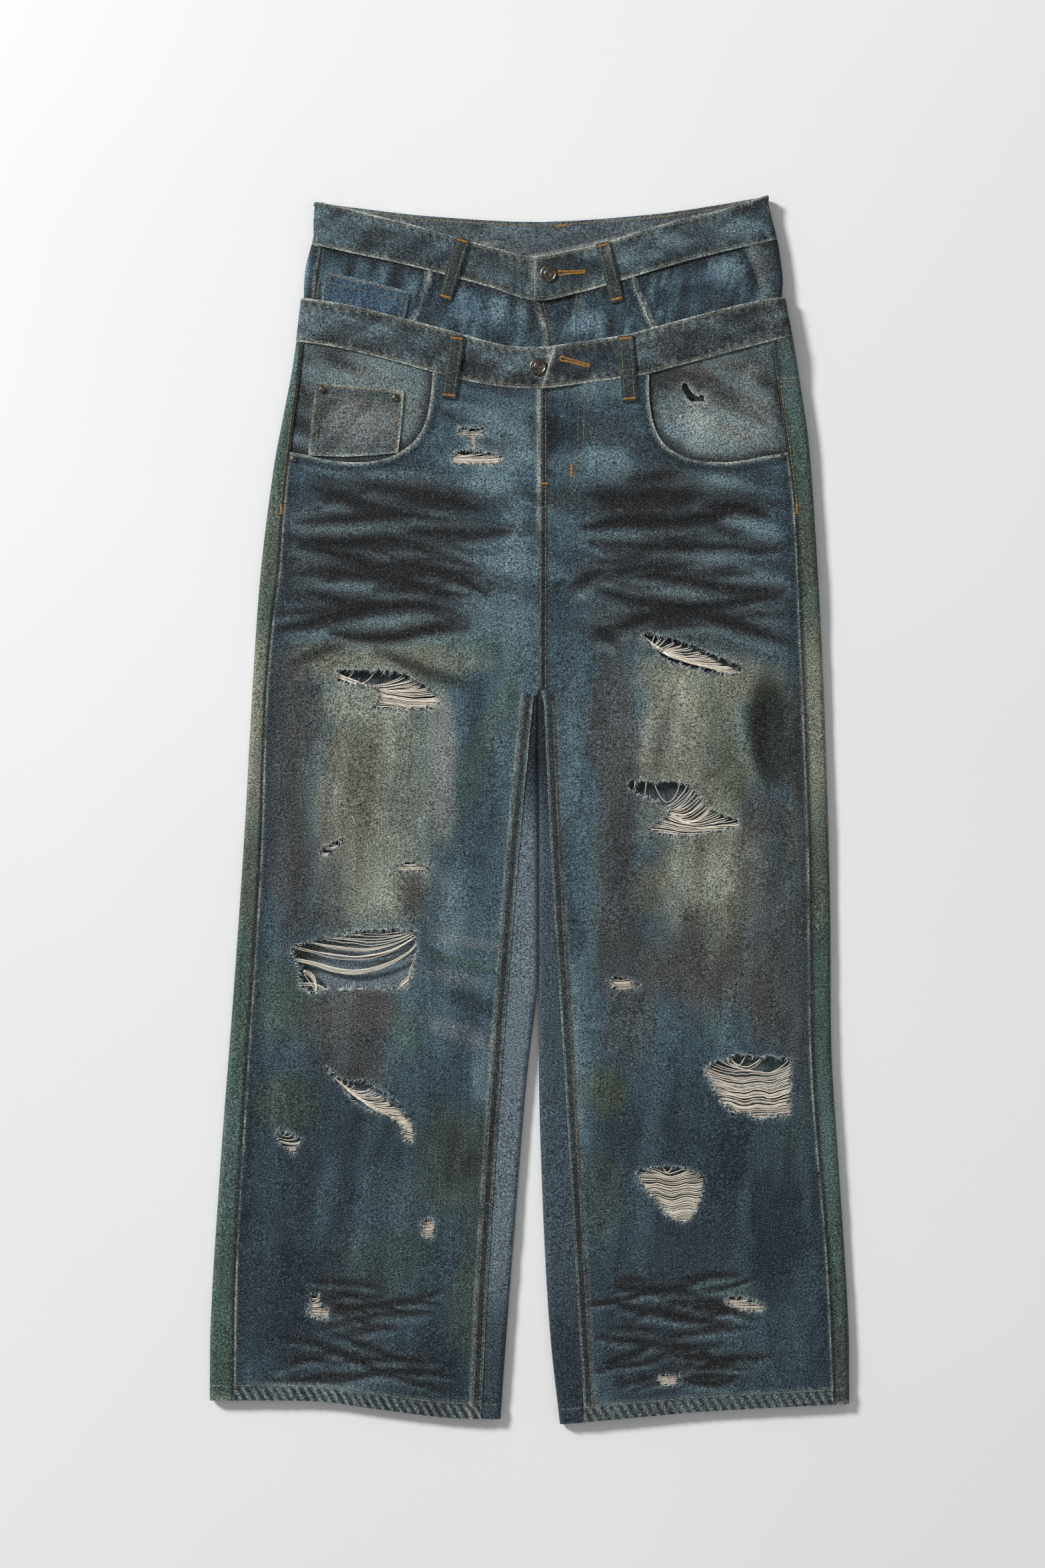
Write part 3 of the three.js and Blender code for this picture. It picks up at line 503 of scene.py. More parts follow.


# The pale blue serves both as faded dye and as painted highlight. The near black serves both as dark dye and
# as painted shade and shadow.
INDIGO, NAVY, INK, FADE_AND_HIGHLIGHT_BLUE = rgb("#42555F"), rgb("#2C3B44"), rgb("#19232B"), rgb("#72888D")
TEAL, SEA_GREEN, OLIVE, BLACK_GREEN = rgb("#55686D"), rgb("#44564F"), rgb("#434A39"), rgb("#1E201B")
KHAKI, PALE_KHAKI, BROWN, GREY_BROWN = rgb("#7C7E6F"), rgb("#9A9C8D"), rgb("#5A5A4E"), rgb("#4F4E4C")
CHARCOAL, SMOKE, BLACK_DYE_AND_SHADE = rgb("#434343"), rgb("#383B3D"), rgb("#1D1E20")
MAUVE, WORN = rgb("#7B7C7C"), rgb("#AEB2A9")


def tint(colours, colour, amount):
    """Moves the colours towards one colour, by an amount from 0 to 1 at each point."""
    return colours + (colour - colours) * np.clip(amount, 0, 1)[:, None]


def blot(x, y, place, reach, turn=0.0, seed=0, rag=0.35):
    """A soft patch with a cloudy edge, 1 at its middle."""
    far = 1.7 * max(reach)
    near = (np.abs(x - place[0]) < far) & (np.abs(y - place[1]) < far)
    px, py = x[near], y[near]
    angle = math.radians(turn)
    dx, dy = px - place[0], py - place[1]
    u = (dx * math.cos(angle) + dy * math.sin(angle)) / reach[0]
    v = (dy * math.cos(angle) - dx * math.sin(angle)) / reach[1]
    distance = np.hypot(u, v) * (1 + rag * clouds(px, py, 38, 100 + seed))
    amount = np.zeros(x.shape)
    amount[near] = 1 - ramp(0.45, 1.25, distance)
    return amount


# Each patch is its colour, strength, middle, half sizes and turn.
BLOTS = [
    # the sprayed areas that the whiskers lie in
    (SMOKE, 0.55, (-140, 808), (96, 22), -4), (SMOKE, 0.6, (-140, 768), (96, 24), -6),
    (SMOKE, 0.5, (-150, 730), (90, 20), 0), (SMOKE, 0.6, (120, 826), (84, 22), 4),
    (SMOKE, 0.6, (130, 745), (96, 26), 0), (SMOKE, 0.5, (140, 718), (96, 20), 0),
    # the wearer's right leg: hip
    (FADE_AND_HIGHLIGHT_BLUE, 0.6, (-42, 885), (38, 26), 0), (NAVY, 0.6, (-118, 876), (26, 16), 0),
    (FADE_AND_HIGHLIGHT_BLUE, 0.55, (-118, 851), (34, 8), -8), (FADE_AND_HIGHLIGHT_BLUE, 0.6, (-46, 848), (26, 14), 0),
    (FADE_AND_HIGHLIGHT_BLUE, 0.45, (-24, 800), (16, 46), 0), (FADE_AND_HIGHLIGHT_BLUE, 0.4, (-45, 735), (38, 44), 0),
    (FADE_AND_HIGHLIGHT_BLUE, 0.5, (-175, 858), (40, 7), -10), (SMOKE, 0.5, (-212, 778), (34, 44), 0),
    (FADE_AND_HIGHLIGHT_BLUE, 0.45, (-150, 803), (46, 5), -3), (FADE_AND_HIGHLIGHT_BLUE, 0.5, (-100, 785), (50, 5), -12),
    (FADE_AND_HIGHLIGHT_BLUE, 0.5, (-85, 758), (40, 5), -20), (TEAL, 0.4, (-180, 758), (44, 6), -8),
    (FADE_AND_HIGHLIGHT_BLUE, 0.7, (-120, 722), (42, 7), -2), (SEA_GREEN, 0.5, (-60, 700), (44, 20), 0),
    (SEA_GREEN, 0.4, (-150, 775), (40, 16), 0), (NAVY, 0.35, (-165, 835), (60, 20), 0),
    # the wearer's right leg: thigh
    (NAVY, 0.55, (-52, 560), (26, 110), 2), (FADE_AND_HIGHLIGHT_BLUE, 0.35, (-28, 640), (14, 80), 2),
    (SEA_GREEN, 0.7, (-46, 628), (12, 66), -28), (SEA_GREEN, 0.6, (-72, 560), (11, 56), -30),
    (KHAKI, 0.9, (-150, 688), (84, 24), 0), (KHAKI, 0.95, (-148, 585), (66, 128), 0),
    (KHAKI, 0.85, (-150, 490), (60, 60), 0), (PALE_KHAKI, 0.6, (-92, 632), (16, 46), 0),
    (PALE_KHAKI, 0.55, (-160, 650), (54, 17), 0), (BROWN, 0.6, (-152, 590), (30, 44), 4),
    (BROWN, 0.6, (-120, 560), (14, 36), 0), (PALE_KHAKI, 0.55, (-190, 560), (12, 70), -6),
    (PALE_KHAKI, 0.5, (-132, 610), (10, 60), 3), (PALE_KHAKI, 0.35, (-152, 482), (26, 24), 0),
    (CHARCOAL, 0.7, (-116, 478), (14, 30), 0), (MAUVE, 0.75, (-88, 585), (12, 66), 0),
    (CHARCOAL, 0.92, (-228, 560), (24, 150), 2), (CHARCOAL, 0.7, (-222, 640), (24, 50), 0),
    (CHARCOAL, 0.5, (-190, 480), (18, 50), 0), (FADE_AND_HIGHLIGHT_BLUE, 0.5, (-84, 455), (18, 46), 0),
    # the wearer's right leg: knee and below
    (MAUVE, 0.45, (-62, 434), (40, 7), -8), (SEA_GREEN, 0.6, (-70, 416), (44, 6), -12),
    (MAUVE, 0.4, (-76, 402), (38, 8), -12), (SEA_GREEN, 0.8, (-238, 385), (38, 44), 0),
    (GREY_BROWN, 0.95, (-168, 372), (50, 32), 0), (CHARCOAL, 0.85, (-168, 328), (40, 30), 6),
    (SEA_GREEN, 0.55, (-120, 356), (20, 26), 0), (MAUVE, 0.45, (-72, 352), (46, 9), -22),
    (NAVY, 0.8, (-60, 380), (34, 9), -18), (FADE_AND_HIGHLIGHT_BLUE, 0.5, (-50, 312), (16, 30), 0),
    (OLIVE, 0.5, (-78, 236), (34, 58), 0), (BLACK_GREEN, 0.45, (-76, 240), (20, 34), 0),
    (OLIVE, 0.55, (-230, 290), (34, 30), 0), (FADE_AND_HIGHLIGHT_BLUE, 0.3, (-120, 195), (24, 34), 10),
    (INK, 0.5, (-150, 262), (24, 34), 0), (INK, 0.55, (-222, 100), (34, 60), 0),
    (SEA_GREEN, 0.5, (-140, 150), (50, 30), 0), (INK, 0.5, (-100, 50), (44, 40), 0),
    (OLIVE, 0.4, (-62, 120), (20, 70), 0), (FADE_AND_HIGHLIGHT_BLUE, 0.3, (-170, 40), (50, 14), 0),
    # the wearer's left leg: hip
    (INK, 0.85, (10, 890), (8, 50), 0), (NAVY, 0.7, (24, 880), (14, 50), 0),
    (FADE_AND_HIGHLIGHT_BLUE, 0.35, (64, 885), (30, 34), 0), (NAVY, 0.7, (100, 862), (24, 18), 0),
    (FADE_AND_HIGHLIGHT_BLUE, 0.5, (150, 850), (34, 10), 0), (FADE_AND_HIGHLIGHT_BLUE, 0.45, (202, 800), (20, 12), 0),
    (NAVY, 0.6, (22, 765), (18, 60), 0), (SMOKE, 0.5, (120, 780), (90, 30), 0),
    (FADE_AND_HIGHLIGHT_BLUE, 0.5, (165, 760), (44, 5), -2), (FADE_AND_HIGHLIGHT_BLUE, 0.5, (120, 815), (50, 4), 4),
    (SMOKE, 0.7, (64, 720), (26, 30), 0), (FADE_AND_HIGHLIGHT_BLUE, 0.35, (150, 742), (30, 4), 0),
    # the wearer's left leg: thigh
    (FADE_AND_HIGHLIGHT_BLUE, 0.4, (25, 590), (12, 80), 3), (INDIGO, 0.5, (38, 500), (20, 90), 3),
    (KHAKI, 0.9, (150, 670), (78, 26), -6), (KHAKI, 0.95, (140, 600), (60, 110), 0),
    (KHAKI, 0.85, (150, 490), (62, 56), 0), (CHARCOAL, 0.92, (66, 625), (24, 100), 2),
    (CHARCOAL, 0.8, (66, 500), (24, 80), 3), (PALE_KHAKI, 0.75, (126, 642), (16, 44), 2),
    (PALE_KHAKI, 0.5, (96, 610), (10, 50), 0), (PALE_KHAKI, 0.6, (148, 486), (36, 30), 0),
    (BROWN, 0.7, (163, 612), (14, 50), 0), (OLIVE, 0.55, (172, 590), (14, 40), 0),
    (BLACK_GREEN, 0.97, (205, 618), (20, 58), 2), (CHARCOAL, 0.7, (200, 548), (24, 30), 0),
    (BROWN, 0.7, (236, 560), (18, 120), 0), (BLACK_GREEN, 0.5, (232, 600), (14, 40), 0),
    (BROWN, 0.7, (95, 478), (14, 26), 0), (CHARCOAL, 0.6, (206, 470), (26, 60), 0),
    # the wearer's left leg: knee and below
    (CHARCOAL, 0.8, (80, 410), (34, 50), 4), (GREY_BROWN, 0.85, (150, 410), (56, 50), 0),
    (BROWN, 0.5, (160, 440), (24, 34), 0), (CHARCOAL, 0.95, (200, 395), (16, 64), 2),
    (CHARCOAL, 0.85, (232, 380), (26, 90), 0), (CHARCOAL, 0.6, (80, 350), (30, 34), 0),
    (SEA_GREEN, 0.45, (160, 356), (26, 16), 0), (FADE_AND_HIGHLIGHT_BLUE, 0.45, (28, 330), (14, 110), 4),
    (OLIVE, 0.7, (62, 300), (20, 26), 0), (NAVY, 0.6, (30, 440), (14, 30), 0),
    (INK, 0.5, (190, 240), (40, 34), 0), (INK, 0.45, (205, 170), (40, 60), 0),
    (SEA_GREEN, 0.4, (240, 260), (20, 40), 0), (INK, 0.6, (68, 85), (16, 56), 3),
    (INK, 0.5, (110, 95), (50, 44), 0), (SEA_GREEN, 0.45, (165, 120), (34, 14), 0),
    (OLIVE, 0.4, (55, 200), (20, 60), 0), (FADE_AND_HIGHLIGHT_BLUE, 0.3, (50, 30), (24, 20), 0),
]


def rubbed(x, y, colours, distance, reach, amount=0.5):
    """A pale halo beside a seam or edge, broken up by clouds."""
    broken = np.clip(0.65 + 0.6 * clouds(x, y, 16, 71), 0, 1)
    return tint(colours, WORN, amount * broken * np.exp(-((distance / reach) ** 2)))


def painted_fold_shading(x, y, colours, turn, length, width, seed, amount):
    """Painted highlight on the ridges and painted shade in the hollows of small folds that all run about one
    way.
    """
    angle = math.radians(turn)
    along, across = x * math.cos(angle) + y * math.sin(angle), y * math.cos(angle) - x * math.sin(angle)
    fold = 2.2 * clouds(along * width / length, across, width, seed)
    colours = tint(colours, FADE_AND_HIGHLIGHT_BLUE, amount * np.clip(fold, 0, 1))
    return tint(colours, BLACK_DYE_AND_SHADE, amount * np.clip(-fold, 0, 1))


def leg_wash(x, y):
    colours = np.tile(INDIGO, (len(x), 1))
    colours = tint(colours, NAVY, 0.9 * (1 - ramp(260, 380, y + 30 * clouds(x, y, 90, 72))))
    for seed, (colour, strength, place, reach, turn) in enumerate(BLOTS):
        colours = tint(colours, colour, strength * blot(x, y, place, reach, turn, seed))
    colours = colours * (1 + 0.1 * clouds(x, y * 0.4, 12, 75) + 0.12 * clouds(x, y, 8, 77))[:, None]
    hips = ramp(660, 760, y)
    # Small folds over the hips and lower legs: painted highlight on their ridges, painted shade in their
    # hollows.
    colours = painted_fold_shading(x, y, colours, -12, 60, 16, 401, 0.45 * hips)
    colours = painted_fold_shading(x, y, colours, 84, 90, 18, 402, 0.2 * (1 - hips))
    # Dark lines along the long thigh creases are painted shade.
    for width, strength, line in crease_lines:
        colours = tint(colours, CHARCOAL, 0.8 * strength * stroke(x, y, line, width))
    # A pale line a little below each whisker is painted highlight, on the lit lower wall of its dented
    # crease.
    for width, strength, line in whisker_lines:
        colours = tint(colours, FADE_AND_HIGHLIGHT_BLUE, 0.6 * strength * stroke(x, y + 1.9 * width, line, width, 0.8))
        colours = tint(colours, SMOKE, 0.6 * strength * stroke(x, y - 0.8 * width, line, width, 1.5))
    for width, strength, line in whisker_lines:
        streaks = 0.9 + 0.35 * clouds(x * 0.5, y * 2.5, 30, 73)
        colours = tint(colours, BLACK_DYE_AND_SHADE, 1.6 * strength * streaks * stroke(x, y, line, width, 0.95))
    for width, strength, line in olive_lines:
        colours = tint(colours, BLACK_GREEN, 0.85 * strength * stroke(x, y, line, width))
    return colours


# Patches down the side strips: side (0 for both), colour, strength, height and reach along the strip.
STRIP_MARKS = [
    (0, KHAKI, 0.9, 630, 110), (0, BROWN, 0.5, 490, 50), (0, BROWN, 0.5, 790, 50),
    (0, TEAL, 0.5, 250, 80), (0, TEAL, 0.6, 940, 40), (-1, KHAKI, 0.6, 15, 20), (1, CHARCOAL, 0.7, 50, 50),
]


def strip_wash(x, y):
    """The strip of the back that shows beside a leg's front: sea green, and khaki at the thigh."""
    wander = y + 14 * clouds(x, y, 40, 74)
    colours = np.tile(SEA_GREEN, (len(x), 1))
    for side, colour, strength, height, reach in STRIP_MARKS:
        here = 1 - ramp(0.4, 1.2, np.abs(wander - height) / reach)
        colours = tint(colours, colour, strength * here * (x * side >= 0))
    return colours * (1 + 0.12 * clouds(x, y, 24, 76))[:, None]


print("marks on the cloth:", len(BLOTS) + len(WHISKERS) + len(OLIVE_STROKES) + len(SHADED_CREASES))

# %% [markdown]
# ## Cloth shells
# A shell is a sheet of quads through points that run along the garment, given its thickness by Solidify, so
# that its cut edges show. A column is a line along the garment with a turn: 0 on the front, 180 on the back,
# and between them round the side. It could be cut as a flat sheet and simulated, but a garment that lies
# still is truer when its sections are set one by one.

# %% Shell builder
def select_only(piece):
    bpy.ops.object.select_all(action="DESELECT")
    piece.select_set(True)
    bpy.context.view_layer.objects.active = piece


def apply_modifiers(piece):
    select_only(piece)
    for modifier in list(piece.modifiers):
        bpy.ops.object.modifier_apply(modifier=modifier.name)


def new_mesh(name, points, faces, materials, dye=None, smooth_angle=38):
    mesh = bpy.data.meshes.new(name)
    mesh.from_pydata(np.asarray(points).tolist(), [], [list(face) for face in faces])
    piece = bpy.data.objects.new(name, mesh)
    bpy.context.scene.collection.objects.link(piece)
    for material in materials:
        mesh.materials.append(material)
    if dye is not None:
        layer = mesh.attributes.new("dye", "FLOAT_COLOR", "POINT")
        layer.data.foreach_set("color", np.c_[to_linear(dye), np.ones(len(dye))].astype(np.float32).ravel())
    select_only(piece)
    bpy.ops.object.shade_smooth_by_angle(angle=math.radians(smooth_angle))
    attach(piece, "root")
    return piece


def thicken(piece, thickness, round_edges=False):
    solid = piece.modifiers.new("thickness", "SOLIDIFY")
    solid.thickness, solid.offset = thickness * MM, 0
    solid.material_offset, solid.material_offset_rim = 1, 2
    if round_edges:
        bevel = piece.modifiers.new("rolled edge", "BEVEL")
        bevel.width, bevel.segments = 0.32 * thickness * MM, 2
        bevel.limit_method, bevel.angle_limit = "ANGLE", math.radians(60)
    apply_modifiers(piece)
    bpy.ops.object.shade_smooth_by_angle(angle=math.radians(42))


# %% Grids of cloth
def column(across, turn=0.0, lift=0.0):
    return SimpleNamespace(across=across, turn=turn, lift=lift)


def level(x):
    return lambda y: np.zeros(np.shape(y)) + x


def flat(x, y):
    return 0 * x


def meet(across, seam, guess):
    y = float(guess)
    for _ in range(5):
        y = float(seam(float(across(y))))
    return y


def round_side(side, edge, thickness, reach, turns):
    def across(turn):
        inset = 1 - math.sin(math.radians(turn))
        return lambda y: edge(y) - side * (thickness / 2 + reach(y) * inset)

    return [column(across(turn), turn) for turn in turns]


def half_turned(turn):
    return (1 - np.cos(np.radians(turn))) / 2


def lay_out(columns, front, back=None):
    """Points of a cloth. front and back each have rows(across), the Y of each row, and a height."""
    back = back or front
    shares = [half_turned(line.turn) for line in columns]
    y = np.array([mix(front.rows(line.across), back.rows(line.across), share)
                  for line, share in zip(columns, shares)])
    x = np.array([line.across(row) + np.zeros(len(row)) for line, row in zip(columns, y)])
    share, lift = np.array(shares)[:, None], np.array([line.lift for line in columns])[:, None]
    return x, y, mix(front.height(x, y), back.height(x, y), share) + lift


def quads_of(shape, keep=None):
    i, j = np.meshgrid(np.arange(shape[0] - 1), np.arange(shape[1] - 1), indexing="ij")
    a = i * shape[1] + j
    quads = np.stack([a, a + shape[1], a + shape[1] + 1, a + 1], axis=-1)
    return quads[keep(i, j)] if keep is not None else quads.reshape(-1, 4)


def nearest_on(x, y, outline, reach):
    """The nearest place on an outline, for points within reach of it."""
    near_x, near_y, best = x.copy(), y.copy(), np.full(x.shape, 1e3)
    (x0, y0), (x1, y1) = outline.min(axis=0) - reach, outline.max(axis=0) + reach
    near = (x > x0) & (x < x1) & (y > y0) & (y < y1)
    px, py, distance = x[near], y[near], best[near]
    qx, qy = px.copy(), py.copy()
    for start, end in zip(outline, np.roll(outline, -1, axis=0)):
        step = end - start
        t = np.clip(((px - start[0]) * step[0] + (py - start[1]) * step[1]) / max(step @ step, 1e-9), 0, 1)
        cx, cy = start[0] + t * step[0], start[1] + t * step[1]
        d = np.hypot(px - cx, py - cy)
        closer = d < distance
        distance[closer], qx[closer], qy[closer] = d[closer], cx[closer], cy[closer]
    near_x[near], near_y[near], best[near] = qx, qy, distance
    return near_x, near_y, best


def cut_cloth(x, y, holes=(), within=None, reach=1.4):
    """Pulls grid points onto the outlines and gives the faces that are left."""
    x, y = x.copy(), y.copy()
    marked = np.zeros(x.shape, bool)
    outlines = [*holes] + ([within] if within is not None else [])
    for outline in outlines:
        near_x, near_y, distance = nearest_on(x, y, outline, reach)
        pulled = distance < reach
        x[pulled], y[pulled] = near_x[pulled], near_y[pulled]
        marked |= pulled
    quads = quads_of(x.shape)
    flat_x, flat_y, flat_marked = x.ravel(), y.ravel(), marked.ravel()
    touched = flat_marked[quads].any(axis=1)
    a, b, c, d = quads[touched].T
    other = (flat_marked[b] & flat_marked[d]) & ~(flat_marked[a] & flat_marked[c])
    first = np.where(other[:, None], np.stack([a, b, d], 1), np.stack([a, b, c], 1))
    second = np.where(other[:, None], np.stack([b, c, d], 1), np.stack([a, c, d], 1))
    triangles = np.vstack([first, second])
    tx, ty = flat_x[triangles], flat_y[triangles]
    first_x, second_x = tx[:, 1] - tx[:, 0], tx[:, 2] - tx[:, 0]
    first_y, second_y = ty[:, 1] - ty[:, 0], ty[:, 2] - ty[:, 0]
    area = np.abs(first_x * second_y - second_x * first_y)
    triangles = triangles[area > 0.05]

    def left(faces):
        mx, my = flat_x[faces].mean(axis=1), flat_y[faces].mean(axis=1)
        kept = np.ones(len(faces), bool)
        for outline in holes:
            kept &= ~inside(mx, my, outline)
        return faces[kept & inside(mx, my, within)] if within is not None else faces[kept]

    return x, y, [*left(quads[~touched]).tolist(), *left(triangles).tolist()]


def face_outwards(piece):
    """Turns a cloth so that the faces of its upper layer look up."""
    heights = np.array([polygon.center.z for polygon in piece.data.polygons])
    looks = np.array([polygon.normal.z for polygon in piece.data.polygons])
    if looks[heights >= np.percentile(heights, 75)].mean() < 0:
        piece.data.flip_normals()


def cloth_piece(name, grid, faces, wash, node, thickness=CLOTH, round_edges=False):
    """Makes one cloth piece that stands for a node of the construction, and tells its flat size."""
    x, y, z = grid
    used = np.unique(np.concatenate([np.ravel(face) for face in faces]).astype(int)) if len(faces) else []
    order = np.full(x.size, -1)
    order[used] = np.arange(len(used))
    fx, fy = x.ravel()[used], y.ravel()[used]
    points = to_metres(fx, fy, z.ravel()[used])
    piece = new_mesh(name, points, [[int(order[k]) for k in face] for face in faces],
                     DENIM_SIDES, wash(fx, fy, used))
    face_outwards(piece)
    area = sum(polygon.area for polygon in piece.data.polygons)
    thicken(piece, thickness, round_edges)
    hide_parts(node)
    steps = np.stack([x, y, z]) * MM
    width = np.sqrt((np.diff(steps, axis=1) ** 2).sum(axis=0)).sum(axis=0).max()
    length = np.sqrt((np.diff(steps, axis=2) ** 2).sum(axis=0)).sum(axis=1).max()
    CUTS[name] = SimpleNamespace(piece=piece, flat=(float(width), float(length)), area=float(area))
    return piece


CUTS = {}

# %% [markdown]
# ## Camera, light and floor
# The jeans lie on a pale floor under a camera that looks straight down. The key light is a large soft panel
# set low at the upper left, so that each fold and cut edge throws a short soft shadow to the lower right.

# %% Camera, lights and floor
VIEW_HEIGHT = 1.411  # metres of floor that the camera sees, from top to bottom
CAMERA_HEIGHT = 3.4
SENSOR = 36.0
camera = bpy.data.objects.new("camera", bpy.data.cameras.new("camera"))
camera.data.sensor_fit, camera.data.sensor_height, camera.data.sensor_width = "VERTICAL", SENSOR, SENSOR
camera.data.lens = SENSOR * (CAMERA_HEIGHT - 0.012) / VIEW_HEIGHT
camera.location = (-0.0063, 0.0236, CAMERA_HEIGHT)
bpy.context.scene.collection.objects.link(camera)
bpy.context.scene.camera = camera


def soft_panel(name, place, size, power, colour=(1, 1, 1)):
    lamp = bpy.data.objects.new(name, bpy.data.lights.new(name, "AREA"))
    lamp.data.shape, lamp.data.size, lamp.data.energy, lamp.data.color = "DISK", size, power, colour
    lamp.location = place
    lamp.rotation_euler = (-Vector(place)).to_track_quat("-Z", "Y").to_euler()
    bpy.context.scene.collection.objects.link(lamp)
    return lamp


bpy.context.scene.view_settings.view_transform = "Standard"
soft_panel("key light", (-4.8, 3.6, 3.75), 1.4, 545)
soft_panel("fill light", (0.8, -0.4, 3.4), 2.6, 6)
world = bpy.data.worlds.new("studio")
bpy.context.scene.world = world
world.use_nodes = True
world.node_tree.nodes["Background"].inputs["Color"].default_value = (1.0, 1.0, 1.0, 1)
world.node_tree.nodes["Background"].inputs["Strength"].default_value = 0.31

# %% [markdown]
# ## Materials
# Denim is a twill: blue warp threads run along the leg and white weft threads pass under three and over one,
# which leaves fine diagonals and a salt-and-pepper grain. The warp is dyed only on its outside, so wear shows
# white first on whatever stands proud. The shader takes the wash from the cloth's points and adds the weave.

# %% A node helper
def add_node(material, kind, inputs=None, **settings):
    """Adds one node. inputs maps its sockets to values, or to the outputs that feed them."""
    node = material.node_tree.nodes.new(kind)
    for name, value in settings.items():
        setattr(node, name, value)
    for socket, value in (inputs or {}).items():
        if isinstance(value, bpy.types.NodeSocket):
            material.node_tree.links.new(value, node.inputs[socket])
        else:
            node.inputs[socket].default_value = value
    return node


def new_material(name):
    material = bpy.data.materials.new(name)
    material.use_nodes = True
    return material, material.node_tree.nodes["Principled BSDF"]


def link(material, output, socket):
    material.node_tree.links.new(output, socket)


# %% Denim
TWILL = 0.0016  # real twill lines are 0.8 mm apart: drawn at twice that, so that they show
GRAIN = 0.0013  # threads are 0.5 mm across: the grain is drawn coarser
STREAK = 0.0022  # uneven warp threads
WAVE_TURN = 0.31416  # a wave texture of scale 1 repeats each pi/10


def denim(name, overlay=None, overlay_share=0.0, contrast=1.0):
    """Woven twill over the painted wash. An overlay colour makes it the cloth's inside or a worn edge."""
    material, surface = new_material(name)
    place = add_node(material, "ShaderNodeTexCoord").outputs["Object"]
    turned = add_node(material, "ShaderNodeMapping", {"Vector": place, "Rotation": (0, 0, math.radians(35))})
    twill = add_node(material, "ShaderNodeTexWave",
                     {"Vector": turned.outputs[0], "Scale": WAVE_TURN / TWILL, "Distortion": 1.2,
                      "Detail": 1.0, "Detail Scale": 0.6}, bands_direction="X").outputs["Fac"]
    grain = add_node(material, "ShaderNodeTexNoise",
                     {"Vector": place, "Scale": 1 / GRAIN, "Detail": 2.0, "Roughness": 0.6}).outputs["Fac"]
    drawn = add_node(material, "ShaderNodeMapping", {"Vector": place, "Scale": (1, 0.07, 1)})
    streak = add_node(material, "ShaderNodeTexNoise",
                      {"Vector": drawn.outputs[0], "Scale": 1 / STREAK, "Detail": 2.0}).outputs["Fac"]
    dye = add_node(material, "ShaderNodeAttribute", attribute_name="dye").outputs["Color"]
    if overlay is not None:
        dye = add_node(material, "ShaderNodeMix", {0: overlay_share, 6: dye, 7: linear(overlay)},
                       data_type="RGBA").outputs[2]
    weave = add_node(material, "ShaderNodeMath", {0: twill, 1: 0.42 * contrast, 2: -0.21 * contrast},
                     operation="MULTIPLY_ADD").outputs[0]
    weave = add_node(material, "ShaderNodeMath", {0: streak, 1: 0.6 * contrast, 2: weave},
                     operation="MULTIPLY_ADD").outputs[0]
    weave = add_node(material, "ShaderNodeMath", {0: grain, 1: 5.2 * contrast, 2: weave},
                     operation="MULTIPLY_ADD").outputs[0]
    shade = add_node(material, "ShaderNodeMath", {0: weave, 1: 1.0 - 2.9 * contrast},
                     operation="ADD").outputs[0]
    shade = add_node(material, "ShaderNodeClamp", {"Value": shade, "Min": 0.12, "Max": 2.9}).outputs[0]
    woven = add_node(material, "ShaderNodeVectorMath", {0: dye, 3: shade}, operation="SCALE").outputs[0]
    speck = add_node(material, "ShaderNodeMath", {0: shade, 1: 0.1, 2: -0.14},
                     operation="MULTIPLY_ADD", use_clamp=True).outputs[0]
    woven = add_node(material, "ShaderNodeVectorMath", {0: woven, 1: speck}, operation="ADD").outputs[0]
    link(material, woven, surface.inputs["Base Color"])
    bump = add_node(material, "ShaderNodeBump", {"Height": weave, "Strength": 0.55, "Distance": 0.00035})
    link(material, bump.outputs[0], surface.inputs["Normal"])
    surface.inputs["Roughness"].default_value = 0.88
    surface.inputs["Specular IOR Level"].default_value = 0.25
    surface.inputs["Sheen Weight"].default_value = 0.06
    return material


# Worn denim, rope dyed and stone washed: matt, mottled, with diagonals.
denim_face = denim("rope dyed denim, washed")
# Its inside shows mostly undyed weft.
denim_inside = denim("denim inside, mostly weft", overlay="#737B7F", overlay_share=0.3, contrast=0.9)
# A cut or folded edge is rubbed nearly white.
denim_edge = denim("denim edge, rubbed pale", overlay="#A9AA9E", overlay_share=0.55, contrast=0.8)
DENIM_SIDES = [denim_face, denim_inside, denim_edge]

# %% Thread, metal and floor
def thread_material(name, roughness=0.8, ply=0.0009):
    """Spun cotton: matt, with a fine twist. Its shade is on the points, as threads differ."""
    material, surface = new_material(name)
    place = add_node(material, "ShaderNodeTexCoord").outputs["Object"]
    twist = add_node(material, "ShaderNodeTexNoise",
                     {"Vector": place, "Scale": 1 / ply, "Detail": 2.0}).outputs["Fac"]
    shade = add_node(material, "ShaderNodeMath", {0: twist, 1: 0.9, 2: 0.55}, operation="MULTIPLY_ADD")
    dye = add_node(material, "ShaderNodeAttribute", attribute_name="dye").outputs["Color"]
    woven = add_node(material, "ShaderNodeVectorMath", {0: dye, 3: shade.outputs[0]}, operation="SCALE")
    link(material, woven.outputs[0], surface.inputs["Base Color"])
    bump = add_node(material, "ShaderNodeBump", {"Height": twist, "Strength": 0.5, "Distance": 0.0002})
    link(material, bump.outputs[0], surface.inputs["Normal"])
    surface.inputs["Roughness"].default_value = roughness
    surface.inputs["Specular IOR Level"].default_value = 0.3
    return material


sewing_thread = thread_material("spun cotton sewing thread")
weft_thread = thread_material("undyed cotton weft, bared by a rip")

